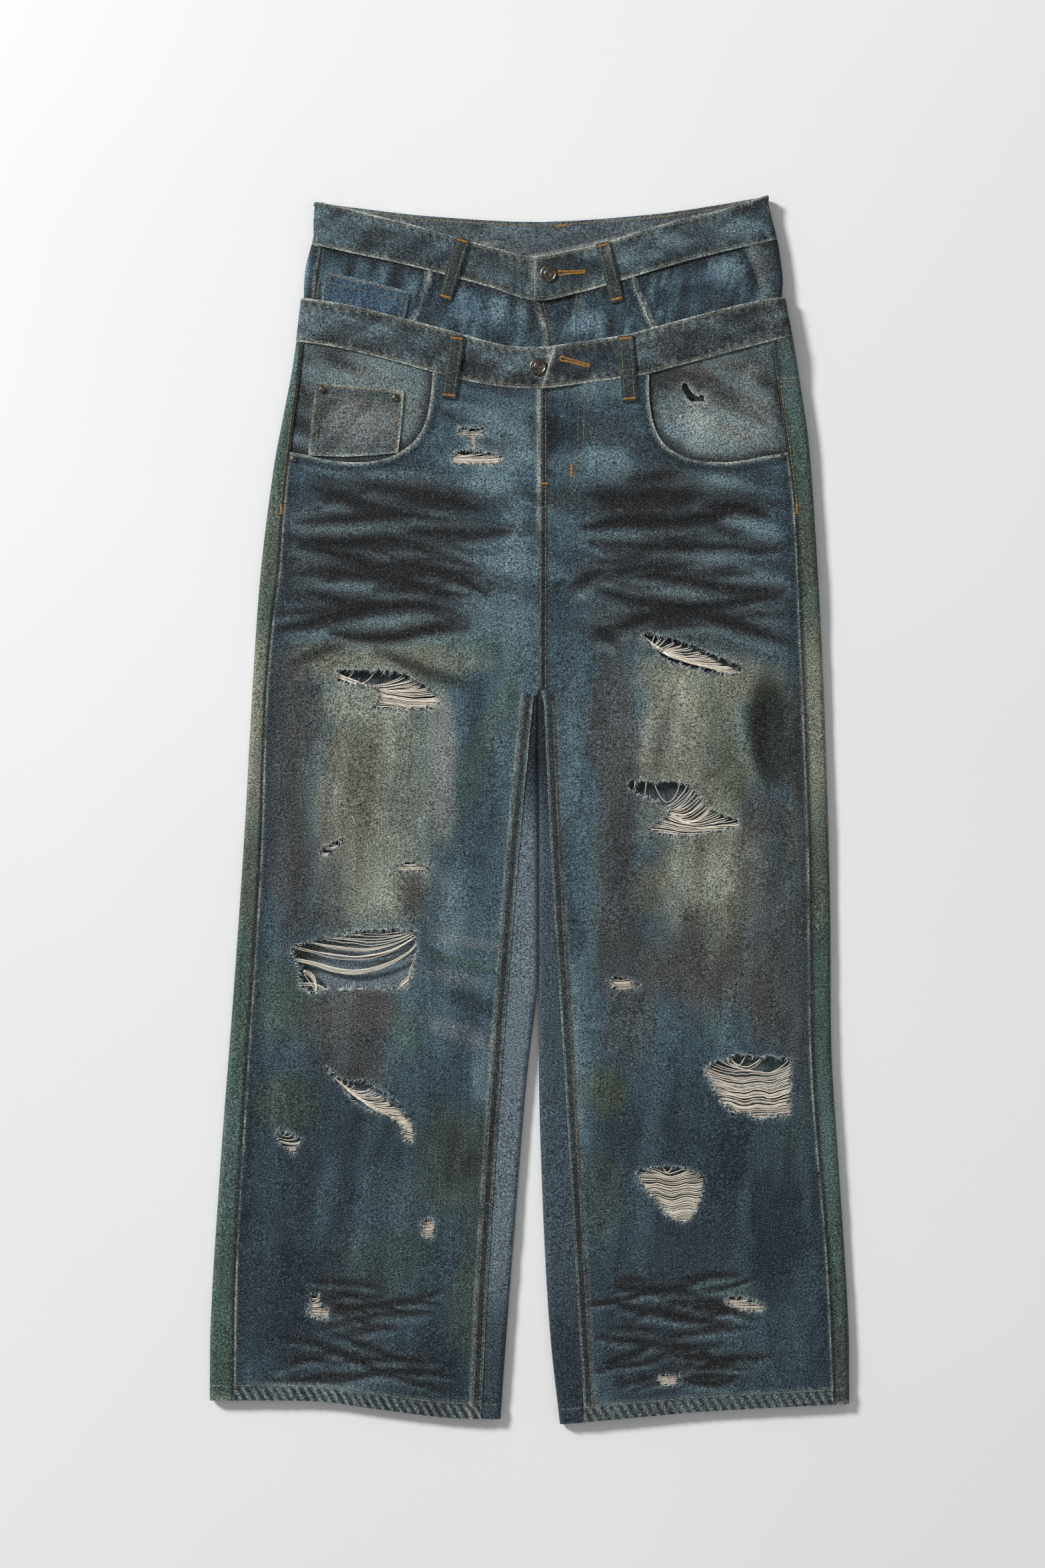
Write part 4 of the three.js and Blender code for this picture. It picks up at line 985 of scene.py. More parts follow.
gunmetal, surface = new_material("brass plated in gunmetal, worn")
place = add_node(gunmetal, "ShaderNodeTexCoord").outputs["Object"]
rubbing = add_node(gunmetal, "ShaderNodeTexNoise",
                   {"Vector": place, "Scale": 700.0, "Detail": 4.0}).outputs["Fac"]
plate = add_node(gunmetal, "ShaderNodeValToRGB", {"Fac": rubbing})
plate.color_ramp.elements[0].position, plate.color_ramp.elements[0].color = 0.38, linear("#3A3633")
plate.color_ramp.elements[1].position, plate.color_ramp.elements[1].color = 0.72, linear("#8C857A")
link(gunmetal, plate.outputs["Color"], surface.inputs["Base Color"])
matt = add_node(gunmetal, "ShaderNodeMath", {0: rubbing, 1: 0.3, 2: 0.22}, operation="MULTIPLY_ADD")
link(gunmetal, matt.outputs[0], surface.inputs["Roughness"])
surface.inputs["Metallic"].default_value = 1.0

floor_paint, surface = new_material("painted studio floor")
place = add_node(floor_paint, "ShaderNodeTexCoord").outputs["Object"]
mottle = add_node(floor_paint, "ShaderNodeTexNoise",
                  {"Vector": place, "Scale": 1.4, "Detail": 2.0}).outputs["Fac"]
tone = add_node(floor_paint, "ShaderNodeValToRGB", {"Fac": mottle})
tone.color_ramp.elements[0].position, tone.color_ramp.elements[0].color = 0.3, linear("#EDEDEE")
tone.color_ramp.elements[1].position, tone.color_ramp.elements[1].color = 0.7, linear("#F2F2F2")
link(floor_paint, tone.outputs["Color"], surface.inputs["Base Color"])
surface.inputs["Roughness"].default_value = 0.9

bpy.ops.object.select_all(action="DESELECT")
bpy.ops.mesh.primitive_plane_add(size=12, location=(0, 0, -0.0003))
floor = bpy.context.object
floor.name = "studio_floor"
floor.data.materials.append(floor_paint)

# %% [markdown]
# ## Leg fronts
# Each front is one cut piece from the hem to the lower waistband. Its grid is finest beside the seams and the
# hem, where turnings make narrow ridges. Grid points near a rip or the pocket opening are pulled onto its
# outline before the faces inside are left out, which gives a clean cut at any angle without a boolean.

# %% Front grids
POCKET_OPENING = {
    "right": [(-97, 985), (-97.5, 947), (-100, 921), (-104, 903.6), (-111, 890), (-121.5, 879.6), (-137, 871),
              (-152.5, 867.6), (-173, 866.7), (-196, 869.4), (-213, 873.6), (-234, 877), (-234, 985)],
    "left": [(97, 990), (97, 947), (97.5, 920), (102, 899), (111, 883), (125, 873.5), (139, 868.5),
             (165.6, 866.7), (183, 868.5), (201, 872), (236, 877.5), (236, 990)],
}
for hand, outline in POCKET_OPENING.items():
    line = smooth_path(outline[:-1], 3)
    POCKET_OPENING[hand] = np.vstack([line, outline[-1:]])

STEP = 2.7
BESIDE_SEAM = np.array([0, 1.0, 2.2, 4.0, 6.0, 8.2, 9.4, 10.8, 13.0])
SIDE_TURNS = [0, 12, 25, 40, 57, 75, 90, 105, 123, 140, 155, 168, 180]


def leg_rows(top, step):
    """Rows from the hem to a seam, close together over the turned hem."""
    hem_rows = np.array([0, 1.0, 2.4, 4.2, 6.5, 9, 11, 12.4, 13.4, 15])
    full = np.r_[hem_rows, np.arange(15 + step, 958, step)]

    def rows(across, leg_hem):
        low, high = meet(across, leg_hem, 10), meet(across, top, 945)
        share = np.where(full < 15, 0, (full - 15) / (full[-1] - 15))
        return low + full + (high - low - full[-1]) * share

    return rows


def front_grid(leg, step=STEP):
    def outer(y):
        return leg.outseam(y) - leg.side * GAP / 2

    def inner(y):
        return mix(leg.inseam(y), level(RISE_X)(y), ramp(650, 664, y)) + leg.side * GAP / 2

    def beside(line, offset):
        return lambda y: line(y) + offset

    near = [beside(inner, leg.side * d) for d in BESIDE_SEAM]
    far = [beside(outer, -leg.side * d) for d in BESIDE_SEAM[::-1]]
    cells = int(245 / step)
    middle = [lambda y, u=u: mix(near[-1](y), far[0](y), u) for u in np.arange(1, cells) / cells]
    columns = [column(across) for across in near + middle + far]
    rows = leg_rows(lambda x: lower_bottom(x) - 0.3, step)
    return lay_out(columns, SimpleNamespace(rows=lambda across: rows(across, leg.hem), height=flat))[:2]


def front_wash(x, y, used=None):
    colours = leg_wash(x, y)
    for leg in legs.values():
        own = (x * leg.side > RISE_X * leg.side) * 1.0
        out = np.abs(x - leg.outseam(y)) + 50 * (1 - own)
        colours = tint(colours, INK, 0.6 * np.exp(-((out / 10) ** 2)))
        colours = rubbed(x, y, colours, out, 1.8, 1.0)
        below = own * (y < CROTCH)
        felled = (x - leg.inseam(y)) * leg.side
        colours = tint(colours, BLACK_DYE_AND_SHADE, 0.6 * below * (felled < 10) * (felled > 1.5))
        colours = rubbed(x, y, colours, np.where(below > 0, np.abs(felled - 10), 99), 2.0, 0.45)
        colours = rubbed(x, y, colours, np.where(below > 0, np.abs(felled), 99), 1.6, 0.55)
        above = y - leg.hem(x) + 99 * (1 - own)
        roped = 0.5 + 0.5 * np.sin((x + 0.6 * above) * 2 * np.pi / 8)
        colours = tint(colours, WORN, 0.55 * roped * (above < 12))
        colours = tint(colours, BLACK_DYE_AND_SHADE, 0.5 * (1 - roped) * (above < 12))
        colours = rubbed(x, y, colours, above - 14.5, 2.0, 0.35)
    rise = np.where((y > CROTCH) & (y < 945), x - RISE_X, 99)
    colours = tint(colours, BLACK_DYE_AND_SHADE, 0.95 * np.exp(-(((rise - 4.5) / 3.2) ** 2)))
    colours = rubbed(x, y, colours, rise, 2.0, 0.3 + 0.9 * ramp(790, 850, y))
    for line in POCKET_OPENING.values():
        edge = distance_to(x, y, line[:-1], 14)[0]
        colours = tint(colours, INK, 0.6 * np.exp(-(((edge - 6) / 3.5) ** 2)))
        colours = rubbed(x, y, colours, edge, 2.0, 1.2)
    near_rip = rip_distance(x, y)
    colours = rubbed(x, y, colours, near_rip, 2.4, 0.4)
    return colours


fronts = {}
for hand, leg in legs.items():
    holes = [POCKET_OPENING[hand]]
    holes += [line for name, line in ragged_rips.items() if name.startswith(hand)]
    x, y, faces = cut_cloth(*front_grid(leg), holes)
    fronts[hand] = cloth_piece(f"cloth_front_{hand}", (x, y, leg_front(x, y)), faces, front_wash,
                               f"front_{hand}")
    print(f"front {hand}:", len(fronts[hand].data.polygons), "faces")

# %% [markdown]
# ## Leg backs
# Only strips of the backs show: one beside the outseam, which turns under at the leg's edge, and one inside
# the inseam. Through the rips one sees the inside of the part that lies on the floor.

# %% Back grids
def outer_reach(y):
    return LEG_ROUND + 0 * y


def inner_reach(y):
    return mix(LEG_ROUND, 0.8, ramp(560, CROTCH, y))


def back_wash(x, y, used=None):
    colours = strip_wash(x, y)
    for leg in legs.values():
        own = x * leg.side > RISE_X * leg.side
        out = (x - leg.outseam(y)) * leg.side
        strip = own & (out > -1) & (out < 40)
        # A narrow black line on the strip just beside the outseam is painted shadow of the seam's edge.
        colours = tint(colours, BLACK_DYE_AND_SHADE, np.where(strip, 0.95 * np.exp(-(((out - 1.6) / 1.3) ** 2)), 0))
        colours = rubbed(x, y, colours, np.where(own, y - leg.hem(x), 99), 3.5, 0.55)
        inward = own & (out < -60)
        pale = rgb("#65727A") if leg is right else rgb("#404D56")
        inner = tint(np.tile(pale, (len(x), 1)), INK, 1.1 * ramp(520, 620, y) + 0.6 * (1 - ramp(60, 160, y)))
        colours = np.where(inward[:, None], inner, colours)
    return colours


for hand, leg in legs.items():
    def outer(y, leg=leg):
        return leg.outseam(y) + leg.side * GAP / 2

    def inner(y, leg=leg):
        return leg.inseam(y) - leg.side * GAP / 2

    fold = round_side(-leg.side, leg.fold, CLOTH, inner_reach, SIDE_TURNS)[::-1]
    edge = round_side(leg.side, leg.edge, CLOTH, outer_reach, SIDE_TURNS)
    seat_x = SEAT_X + leg.side * GAP / 2
    under_fold = fold[0].across
    fold[0] = column(lambda y: mix(under_fold(y), seat_x, ramp(655, 663, y)), 180)
    strip = [column(lambda y, u=u: mix(outer(y), edge[0].across(y), u)) for u in (0, 0.08, 0.18, 0.4, 0.7)]
    under = [column(lambda y, u=u: mix(edge[-1].across(y), fold[0].across(y), u), 180)
             for u in np.arange(1, 40) / 40]
    inside_strip = [column(lambda y, u=u: mix(fold[-1].across(y), inner(y), u)) for u in (0.3, 0.7, 1)]
    columns = strip + edge + under + fold + inside_strip
    inner_start = len(strip) + len(edge) + len(under)
    rows_front = leg_rows(lambda x: level(YOKE_SIDE)(x) - GAP / 2, 5.0)
    rows_back = leg_rows(lambda x: yoke_seam(x) - GAP / 2, 5.0)
    grid = lay_out(columns,
                   SimpleNamespace(rows=lambda across: rows_front(across, leg.hem), height=leg_front),
                   SimpleNamespace(rows=lambda across: rows_back(across, leg.hem), height=leg_back))
    faces = quads_of(grid[0].shape, lambda i, j: (i < inner_start) | (grid[1][i, j + 1] <= CROTCH)).tolist()
    back = cloth_piece(f"cloth_back_{hand}", grid, faces, back_wash, f"back_{hand}")
    print(f"back {hand}:", len(back.data.polygons), "faces")

# %% [markdown]
# ## Yokes, pocket facings and the coin pocket
# The yokes join the backs to the waistband, and their ends show at the hips. The facings are the pale cloth
# seen through the scooped pockets. They take the fronts' own heights, one ply lower, so they follow them.

# %% Yokes
UNDER_STATIONS = [168, 140, 113, 84, 56, 28]


def hip_wash(x, y, used=None):
    colours = strip_wash(x, y)
    for leg in legs.values():
        own = x * leg.side > 0
        out = (x - leg.outseam(y)) * leg.side
        # A narrow black line just beside the outseam is painted shadow of the seam's edge.
        colours = tint(colours, BLACK_DYE_AND_SHADE, np.where(own, 0.9 * np.exp(-(((out - 1.6) / 1.3) ** 2)), 0))
        colours = rubbed(x, y, colours, np.where(own, y - YOKE_SIDE, 99), 2.2, 0.5)
    return colours


for hand, leg in legs.items():
    def outer(y, leg=leg):
        return leg.outseam(y) + leg.side * GAP / 2

    edge = round_side(leg.side, leg.edge, CLOTH, outer_reach, SIDE_TURNS)
    columns = [column(lambda y, u=u: mix(outer(y), edge[0].across(y), u)) for u in (0, 0.15, 0.4, 0.7)]
    columns += edge + [column(level(leg.side * x), 180) for x in UNDER_STATIONS]
    columns.append(column(level(SEAT_X + leg.side * GAP / 2), 180))

    def yoke_rows(low, high):
        return lambda across: np.linspace(meet(across, low, 945) + GAP / 2, meet(across, high, 945) - 0.3, 9)

    grid = lay_out(columns, SimpleNamespace(rows=yoke_rows(level(YOKE_SIDE), lower_bottom), height=leg_front),
                   SimpleNamespace(rows=yoke_rows(yoke_seam, lower_back_bottom), height=leg_back))
    cloth_piece(f"cloth_yoke_{hand}", grid, quads_of(grid[0].shape).tolist(), hip_wash, f"yoke_{hand}")

# %% Facings and the lower coin pocket
FACING = {
    "right": [(-88, 980), (-90, 915), (-100, 882), (-125, 862), (-165, 854), (-229, 862), (-229, 985)],
    "left": [(88, 980), (89, 915), (98, 878), (125, 860), (165, 854), (226, 862), (226, 990)],
}
COIN_LOWER = [(-203, 939), (-163, 934.5), (-123.6, 930.6), (-126, 900), (-129, 875.4), (-150, 873),
              (-180, 871.6), (-210, 873), (-207, 905)]


def facing_wash(x, y, used=None):
    """Pale at the middle of the pocket, dark and brown round it, with painted shadow just inside the pocket
    openings.
    """
    colours = np.tile(rgb("#4A5356"), (len(x), 1))
    colours = tint(colours, rgb("#727675"), 0.85 * blot(x, y, (-150, 925), (60, 44), 0, 80))
    colours = tint(colours, rgb("#848A87"), 0.8 * blot(x, y, (165, 905), (56, 36), 0, 81))
    colours = tint(colours, rgb("#A9B0AC"), 0.7 * blot(x, y, (135, 898), (24, 20), 0, 79))
    colours = tint(colours, rgb("#4F4D49"), 0.85 * blot(x, y, (150, 948), (46, 15), 10, 82))
    colours = tint(colours, rgb("#A4AAA7"), 0.5 * blot(x, y, (190, 945), (14, 10), 0, 83))
    colours = tint(colours, BLACK_DYE_AND_SHADE, 0.6 * blot(x, y, (218, 925), (8, 44), 3, 84))
    colours = tint(colours, rgb("#566A72"), 0.6 * blot(x, y, (115, 890), (22, 20), 0, 85))
    colours = tint(colours, BLACK_DYE_AND_SHADE, 0.3 * blot(x, y, (-218, 920), (12, 44), 0, 86))
    # Small slanting folds: painted highlight and painted shade.
    colours = painted_fold_shading(x, y, colours, -28, 44, 11, 406, 0.5)
    # Darker just inside each pocket opening: painted shadow of the front's cut edge on the facing.
    for line in POCKET_OPENING.values():
        colours = tint(colours, BLACK_DYE_AND_SHADE, 0.75 * np.exp(-((distance_to(x, y, line[:-1], 20)[0] / 6) ** 2)))
    tear = distance_to(x, y, np.array(FACING_TEAR, float), 12)[0]
    return rubbed(x, y, colours, tear, 5.0, 1.4)


FACING_TEAR = [(128, 936), (133, 931), (136, 924), (146, 925)]


def coin_wash(x, y, used=None):
    colours = np.where(y[:, None] > 960, rgb("#34434D"), rgb("#4A5152"))
    colours = tint(colours, rgb("#737472"), 0.8 * blot(x, y, (-165, 905), (34, 24), 0, 87))
    colours = tint(colours, rgb("#50605F"), 0.5 * blot(x, y, (-140, 925), (22, 9), 0, 88))
    # Small folds: painted highlight and painted shade.
    colours = painted_fold_shading(x, y, colours, 50, 24, 9, 407, 0.35)
    for path in (COIN_LOWER, COIN_UPPER):
        edge = np.vstack([path, path[:1]]).astype(float)
        colours = rubbed(x, y, colours, distance_to(x, y, edge, 8)[0], 2.2, 1.0)
    return colours


COIN_UPPER = [(-195, 1039), (-156, 1030), (-117.5, 1020), (-122, 1000), (-126, 985), (-150, 979), (-178, 980),
              (-200, 988), (-198, 1012)]


def patch(points, margin=4, step=3.0):
    """A square grid over an outline, for a patch cut to it."""
    points = np.array(points, float)
    low, high = points.min(axis=0) - margin, points.max(axis=0) + margin
    x, y = np.meshgrid(np.arange(low[0], high[0], step), np.arange(low[1], high[1], step), indexing="ij")
    return x, y


for hand, leg in legs.items():
    outline = np.array(FACING[hand], float)
    tear = [ragged([(126, 938), (131, 937), (134, 930), (140, 927), (147, 927), (147, 922), (134, 921),
                    (131, 927), (127, 931)], 30, 1.6, 0.7)] if leg is left else []
    x, y, faces = cut_cloth(*patch(outline), tear, outline)
    x = np.where((y > 850) & ((x - leg.outseam(y)) * leg.side > -0.5), leg.outseam(y) - 0.5 * leg.side, x)
    z = leg_front(x, y) - LAYER
    cloth_piece(f"cloth_facing_{hand}", (x, y, z), faces, facing_wash, f"facing_lower_{hand}",
                thickness=1.0)

x, y, faces = cut_cloth(*patch(COIN_LOWER, step=2.2), (), np.array(COIN_LOWER, float))
cloth_piece("cloth_coin_pocket", (x, y, leg_front(x, y) + 0.1), faces, coin_wash, "coin_pocket_lower",
            thickness=1.1)

# %% [markdown]
# ## The two waistbands
# A waistband is one doubled strip all the way round, whose left end laps over its right end at the button.
# Its long edges are folds and not cuts, so they are rolled. The lower one's lapped end curls up.

# %% Bands
BAND_TURNS = [0, 12, 25, 40, 55, 72, 90, 108, 125, 140, 155, 168, 180]
BACK_STATIONS = [*(-x for x in UNDER_STATIONS), 0, *UNDER_STATIONS[::-1]]
ACROSS_BAND = np.array([0, 0.03, 0.07, 0.12, 0.2, 0.32, 0.44, 0.56, 0.68, 0.8, 0.88, 0.93, 0.97, 1])
UNDERLAP_X = 16
LAP_MIDDLE = 952.0


def band_grid(edges, reach, front_height, tops, bottoms, read_at, lap_end, curl, lean):
    def leaning(x):
        return lambda y: x + lean * (y - LAP_MIDDLE) * np.exp(-(x - lap_end) / 12)

    right_front = [column(level(-x)) for x in np.r_[-UNDERLAP_X, np.arange(-12, 206, 4.0)]]
    left_front = [column(leaning(x), 0, float(LAP * (1 - ramp(20, 44, x)))) for x in
                  np.r_[np.arange(204, lap_end + 5, -4.0), lap_end + np.array([3.4, 2, 1, 0])]]
    columns = right_front + round_side(-1, edges[0], BAND, lambda y: reach + 0 * y, BAND_TURNS)
    columns += [column(level(x), 180) for x in BACK_STATIONS]
    columns += round_side(1, edges[1], BAND, lambda y: reach + 0 * y, BAND_TURNS)[::-1] + left_front

    def rows(side):
        return lambda across: mix(meet(across, bottoms[side], read_at), meet(across, tops[side], read_at),
                                  ACROSS_BAND)

    def front(x, y):
        share = np.clip((y - bottoms[0](x)) / (tops[0](x) - bottoms[0](x)), 0, 1)
        stitched = np.exp(-(((np.minimum(share, 1 - share) * 40 - 3) / 1.3) ** 2))
        puckers = pucker(np.minimum(share, 1 - share) * 40 - 2, x, 5.0, 0.25)
        return front_height + band_waves(x, y) - 0.28 * stitched + puckers

    x, y, z = lay_out(columns, SimpleNamespace(rows=rows(0), height=front),
                      SimpleNamespace(rows=rows(1), height=lambda x, y: BAND_BACK + 0 * x))
    lapped = slice(len(columns) - len(left_front), len(columns))
    flat_x = np.array([column.across(LAP_MIDDLE) for column in left_front])[:, None]
    z[lapped] += curl * np.exp(-(flat_x - lap_end) / 5.0) * (0.6 + 0.4 * np.sin(y[lapped] / 6))
    return x, y, z


def band_wash(tops, bottoms, base, marks, lap):
    def wash(x, y, used=None):
        colours = np.tile(rgb(base), (len(x), 1))
        for seed, (colour, strength, place, reach, turn) in enumerate(marks):
            colours = tint(colours, rgb(colour), strength * blot(x, y, place, reach, turn, 200 + seed))
        # Small folds running two ways: painted highlight and painted shade.
        colours = painted_fold_shading(x, y, colours, 30, 34, 9, 403, 0.6)
        colours = painted_fold_shading(x, y, colours, -20, 50, 12, 404, 0.4)
        ripple = np.sin(x * 2 * np.pi / 7.5 + 3 * clouds(x, y, 20, 63))
        for seam in (tops, bottoms):
            gap = np.abs(y - seam(x))
            beside = np.exp(-(((gap - 4) / 4) ** 2))
            colours = tint(colours, WORN, 0.35 * beside * np.clip(ripple, 0, 1))
            colours = tint(colours, BLACK_DYE_AND_SHADE, 0.5 * beside * np.clip(-ripple, 0, 1))
            colours = rubbed(x, y, colours, gap, 1.6, 1.2)
            colours = tint(colours, BLACK_DYE_AND_SHADE, 0.3 * np.exp(-(((gap - 3.4) / 1.2) ** 2)))
        return rubbed(x, y, colours, x - lap(y), 2.6, 1.0)

    return wash


grid = band_grid((right.band_edge, left.band_edge), LOWER_ROUND, LOWER_FRONT, (lower_top, lower_back_top),
                 (lower_bottom, lower_back_bottom), 995, 6.2, 2.2, 0.3)
lower_marks = [("#4D5A60", 0.7, (-140, 985), (50, 16), -12), ("#2E3235", 0.7, (-30, 952), (50, 16), 0),
               ("#57595A", 0.6, (120, 975), (50, 14), 14), ("#2C3133", 0.7, (170, 990), (34, 14), 14),
               ("#3C4F5C", 0.6, (60, 960), (40, 14), 5), ("#59605F", 0.6, (205, 998), (16, 16), 10),
               ("#515B5D", 0.6, (-200, 995), (20, 18), 0)]
cloth_piece("waistband_lower_cloth", grid, quads_of(grid[0].shape).tolist(),
            band_wash(lower_top, lower_bottom, "#343B40", lower_marks,
                      lambda y: 6.2 + 0.3 * (y - LAP_MIDDLE)), "waistband_lower",
            thickness=2.2, round_edges=True)

grid = band_grid((right.upper_edge, left.upper_edge), UPPER_ROUND, UPPER_FRONT, (upper_top, upper_back_top),
                 (upper_bottom, upper_back_bottom), 1082, -6, 0.9, 0.0)
upper_marks = [("#5E6E72", 0.7, (-150, 1076), (44, 14), -14), ("#3A4549", 0.8, (-60, 1048), (30, 14), -14),
               ("#5A6765", 0.6, (-20, 1040), (22, 14), -10), ("#3B474C", 0.7, (90, 1056), (40, 12), 16),
               ("#5F6F74", 0.6, (150, 1074), (40, 12), 16), ("#2F4352", 0.6, (195, 1088), (14, 16), 10)]
cloth_piece("waistband_upper_cloth", grid, quads_of(grid[0].shape).tolist(),
            band_wash(upper_top, upper_bottom, "#2C3941", upper_marks, level(-6)), "waistband_upper",
            thickness=2.2, round_edges=True)

# %% [markdown]
# ## The upper strip
# Between the two waistbands is a short second hip, with its own fly, pockets and coin pocket. It is sewn
# inside the lower waistband and comes out over it, so its rows are closest where it bends.

# %% Strip pieces
FLY_X = curve([(930, 3), (985, 3), (1012, -4), (1060, -5)])
UPPER_OPENING = {
    "right": [(-102, 1090), (-102, 1033), (-108, 1012), (-116, 994), (-128, 981), (-148, 975), (-175, 977),
              (-230, 984), (-230, 1090)],
    "left": [(84, 1090), (84, 1028), (92, 1009), (99.5, 991), (112, 979), (132, 974), (165, 977), (230, 990),
             (230, 1090)],
}
UPPER_FACING = {
    "right": [(-92, 1090), (-93, 1030), (-102, 990), (-118, 972), (-145, 966), (-175, 969), (-230, 975),
              (-230, 1090)],
    "left": [(74, 1090), (75, 1025), (87, 987), (105, 970), (135, 966), (165, 969), (230, 980), (230, 1090)],
}


def strip_rows(low, edge, high, cells=22):
    def rows(across):
        bottom = meet(across, low, 1015) + 1
        over = meet(across, edge, 1015)
        top = meet(across, high, 1015) - 0.3
        return np.r_[bottom, mix(bottom, over, 0.5), np.linspace(over - 2, top, cells)]

    return rows


upper_marks = [("#526878", 0.7, (-60, 1005), (34, 14), -10), ("#657C8C", 0.7, (36, 992), (26, 10), 8),
               ("#26333E", 0.8, (120, 1030), (44, 16), 14), ("#54697A", 0.7, (150, 1036), (30, 8), 14),
               ("#2B3A46", 0.7, (-95, 1028), (12, 22), 0), ("#25323D", 0.6, (190, 1040), (10, 24), 0),
               ("#33495A", 0.6, (-160, 1010), (50, 26), 0), ("#22303B", 0.7, (100, 1000), (10, 24), 14),
               ("#22303B", 0.6, (12, 1000), (10, 24), 0), ("#5B7080", 0.5, (-30, 1000), (10, 16), 0)]


def strip_piece_wash(x, y, used=None):
    colours = np.tile(rgb("#33454F"), (len(x), 1))
    for seed, (colour, strength, place, reach, turn) in enumerate(upper_marks):
        colours = tint(colours, rgb(colour), strength * blot(x, y, place, reach, turn, 300 + seed))
    # Small upright folds: painted highlight and painted shade.
    colours = painted_fold_shading(x, y, colours, 80, 34, 10, 405, 0.65)
    # Darker along the foot of the upper waistband: painted shadow of the band on the cloth below it.
    colours = tint(colours, BLACK_DYE_AND_SHADE, 0.7 * np.exp(-(((y - upper_bottom(x)) / 5) ** 2)))
    for opening in UPPER_OPENING.values():
        line = smooth_path(opening[:-2], 4)
        edge = distance_to(x, y, line, 12)[0]
        colours = tint(colours, INK, 0.6 * np.exp(-(((edge - 5) / 3) ** 2)))
        colours = rubbed(x, y, colours, edge, 2.0, 1.1)
    for leg in legs.values():
        colours = rubbed(x, y, colours, x - leg.upper_seam(y), 1.8, 0.6)
    fly_edge = x - FLY_X(y)
    colours = tint(colours, BLACK_DYE_AND_SHADE, 0.8 * np.exp(-(((fly_edge - 4) / 2.6) ** 2)))
    return rubbed(x, y, colours, fly_edge, 2.2, 1.2)


front_strip = SimpleNamespace(height=strip_front, rows=strip_rows(lower_bottom, lower_top, upper_bottom))
back_strip = SimpleNamespace(height=strip_back, rows=strip_rows(lower_back_bottom, lower_back_top,
                                                                upper_back_bottom))
for hand, leg in legs.items():
    def fly(y, leg=leg):
        return FLY_X(y) + leg.side * GAP / 2

    def seam(y, leg=leg):
        return leg.upper_seam(y) - leg.side * GAP / 2

    shares = np.r_[0, 0.008, 0.02, np.linspace(0.035, 0.98, 66), 1]
    columns = [column(lambda y, u=u: mix(fly(y), seam(y), u)) for u in shares]
    x, y, z = lay_out(columns, SimpleNamespace(height=flat, rows=front_strip.rows))
    opening = np.vstack([smooth_path(UPPER_OPENING[hand][:-2], 3), UPPER_OPENING[hand][-2:]])
    x1, y1, faces = cut_cloth(x, y, [opening])
    cloth_piece(f"cloth_upper_front_{hand}", (x1, y1, strip_front(x1, y1)), faces, strip_piece_wash,
                f"upper_front_{hand}")
    x2, y2, faces = cut_cloth(x, y, (), np.array(UPPER_FACING[hand], float))
    cloth_piece(f"cloth_upper_facing_{hand}", (x2, y2, strip_front(x2, y2) - LAYER), faces, strip_piece_wash,
                f"facing_upper_{hand}", thickness=1.0)
    if leg is right:
        x3, y3, faces = cut_cloth(*patch(COIN_UPPER, step=2.2), (), np.array(COIN_UPPER, float))
        cloth_piece("cloth_upper_coin_pocket", (x3, y3, strip_front(x3, y3) + 0.1), faces,
                    lambda x, y, used: tint(coin_wash(x, y), rgb("#3D566B"), np.full(len(x), 0.55)),
                    "coin_pocket_upper", thickness=1.1)
    backs = [column(lambda y: seam(y) + leg.side * GAP)]
    backs += round_side(leg.side, leg.upper_edge, CLOTH, lambda y: UPPER_ROUND + 0 * y, BAND_TURNS)
    backs += [column(level(leg.side * x), 180) for x in UNDER_STATIONS]
    backs.append(column(level(SEAT_X + leg.side * GAP / 2), 180))
    grid = lay_out(backs, front_strip, back_strip)
    cloth_piece(f"cloth_upper_back_{hand}", grid, quads_of(grid[0].shape).tolist(), strip_piece_wash,
                f"upper_back_{hand}")
print("cloth pieces so far:", len(CUTS))

# %% [markdown]
# ## Belt loops and back pockets
# A belt loop is a strip folded in three, thick in the middle and sewn flat at both ends. The loops and
# pockets on the hidden back are the same pieces of cloth, made plain.

# %% Loops
LOOP_PATHS = {
    "loop_lower_right": ((-75.6, 980), (-83.4, 924), 13.5),
    "loop_lower_left": ((75.6, 980), (79.5, 921), 13.5),
    "loop_upper_right": ((-70, 1068), (-87, 1013), 12.0), "loop_upper_left": ((55, 1064), (68.6, 1011), 12.0),
}


def loop_height(name, x, y):
    low = "lower" in name
    band = (LOWER_FRONT if low else UPPER_FRONT) + BAND / 2
    edge = lower_bottom if low else upper_bottom
    below = (leg_front if low else strip_front)(x, y) + CLOTH / 2
    return mix(below, band, ramp(-16, -4, y - edge(x))) + GAP + LOOP / 2


def loop_wash(x, y, used=None):
    return tint(np.tile(rgb("#333A3B"), (len(x), 1)), rgb("#6E7268"), ramp(0.0, 0.9, clouds(x, y, 12, 91)))


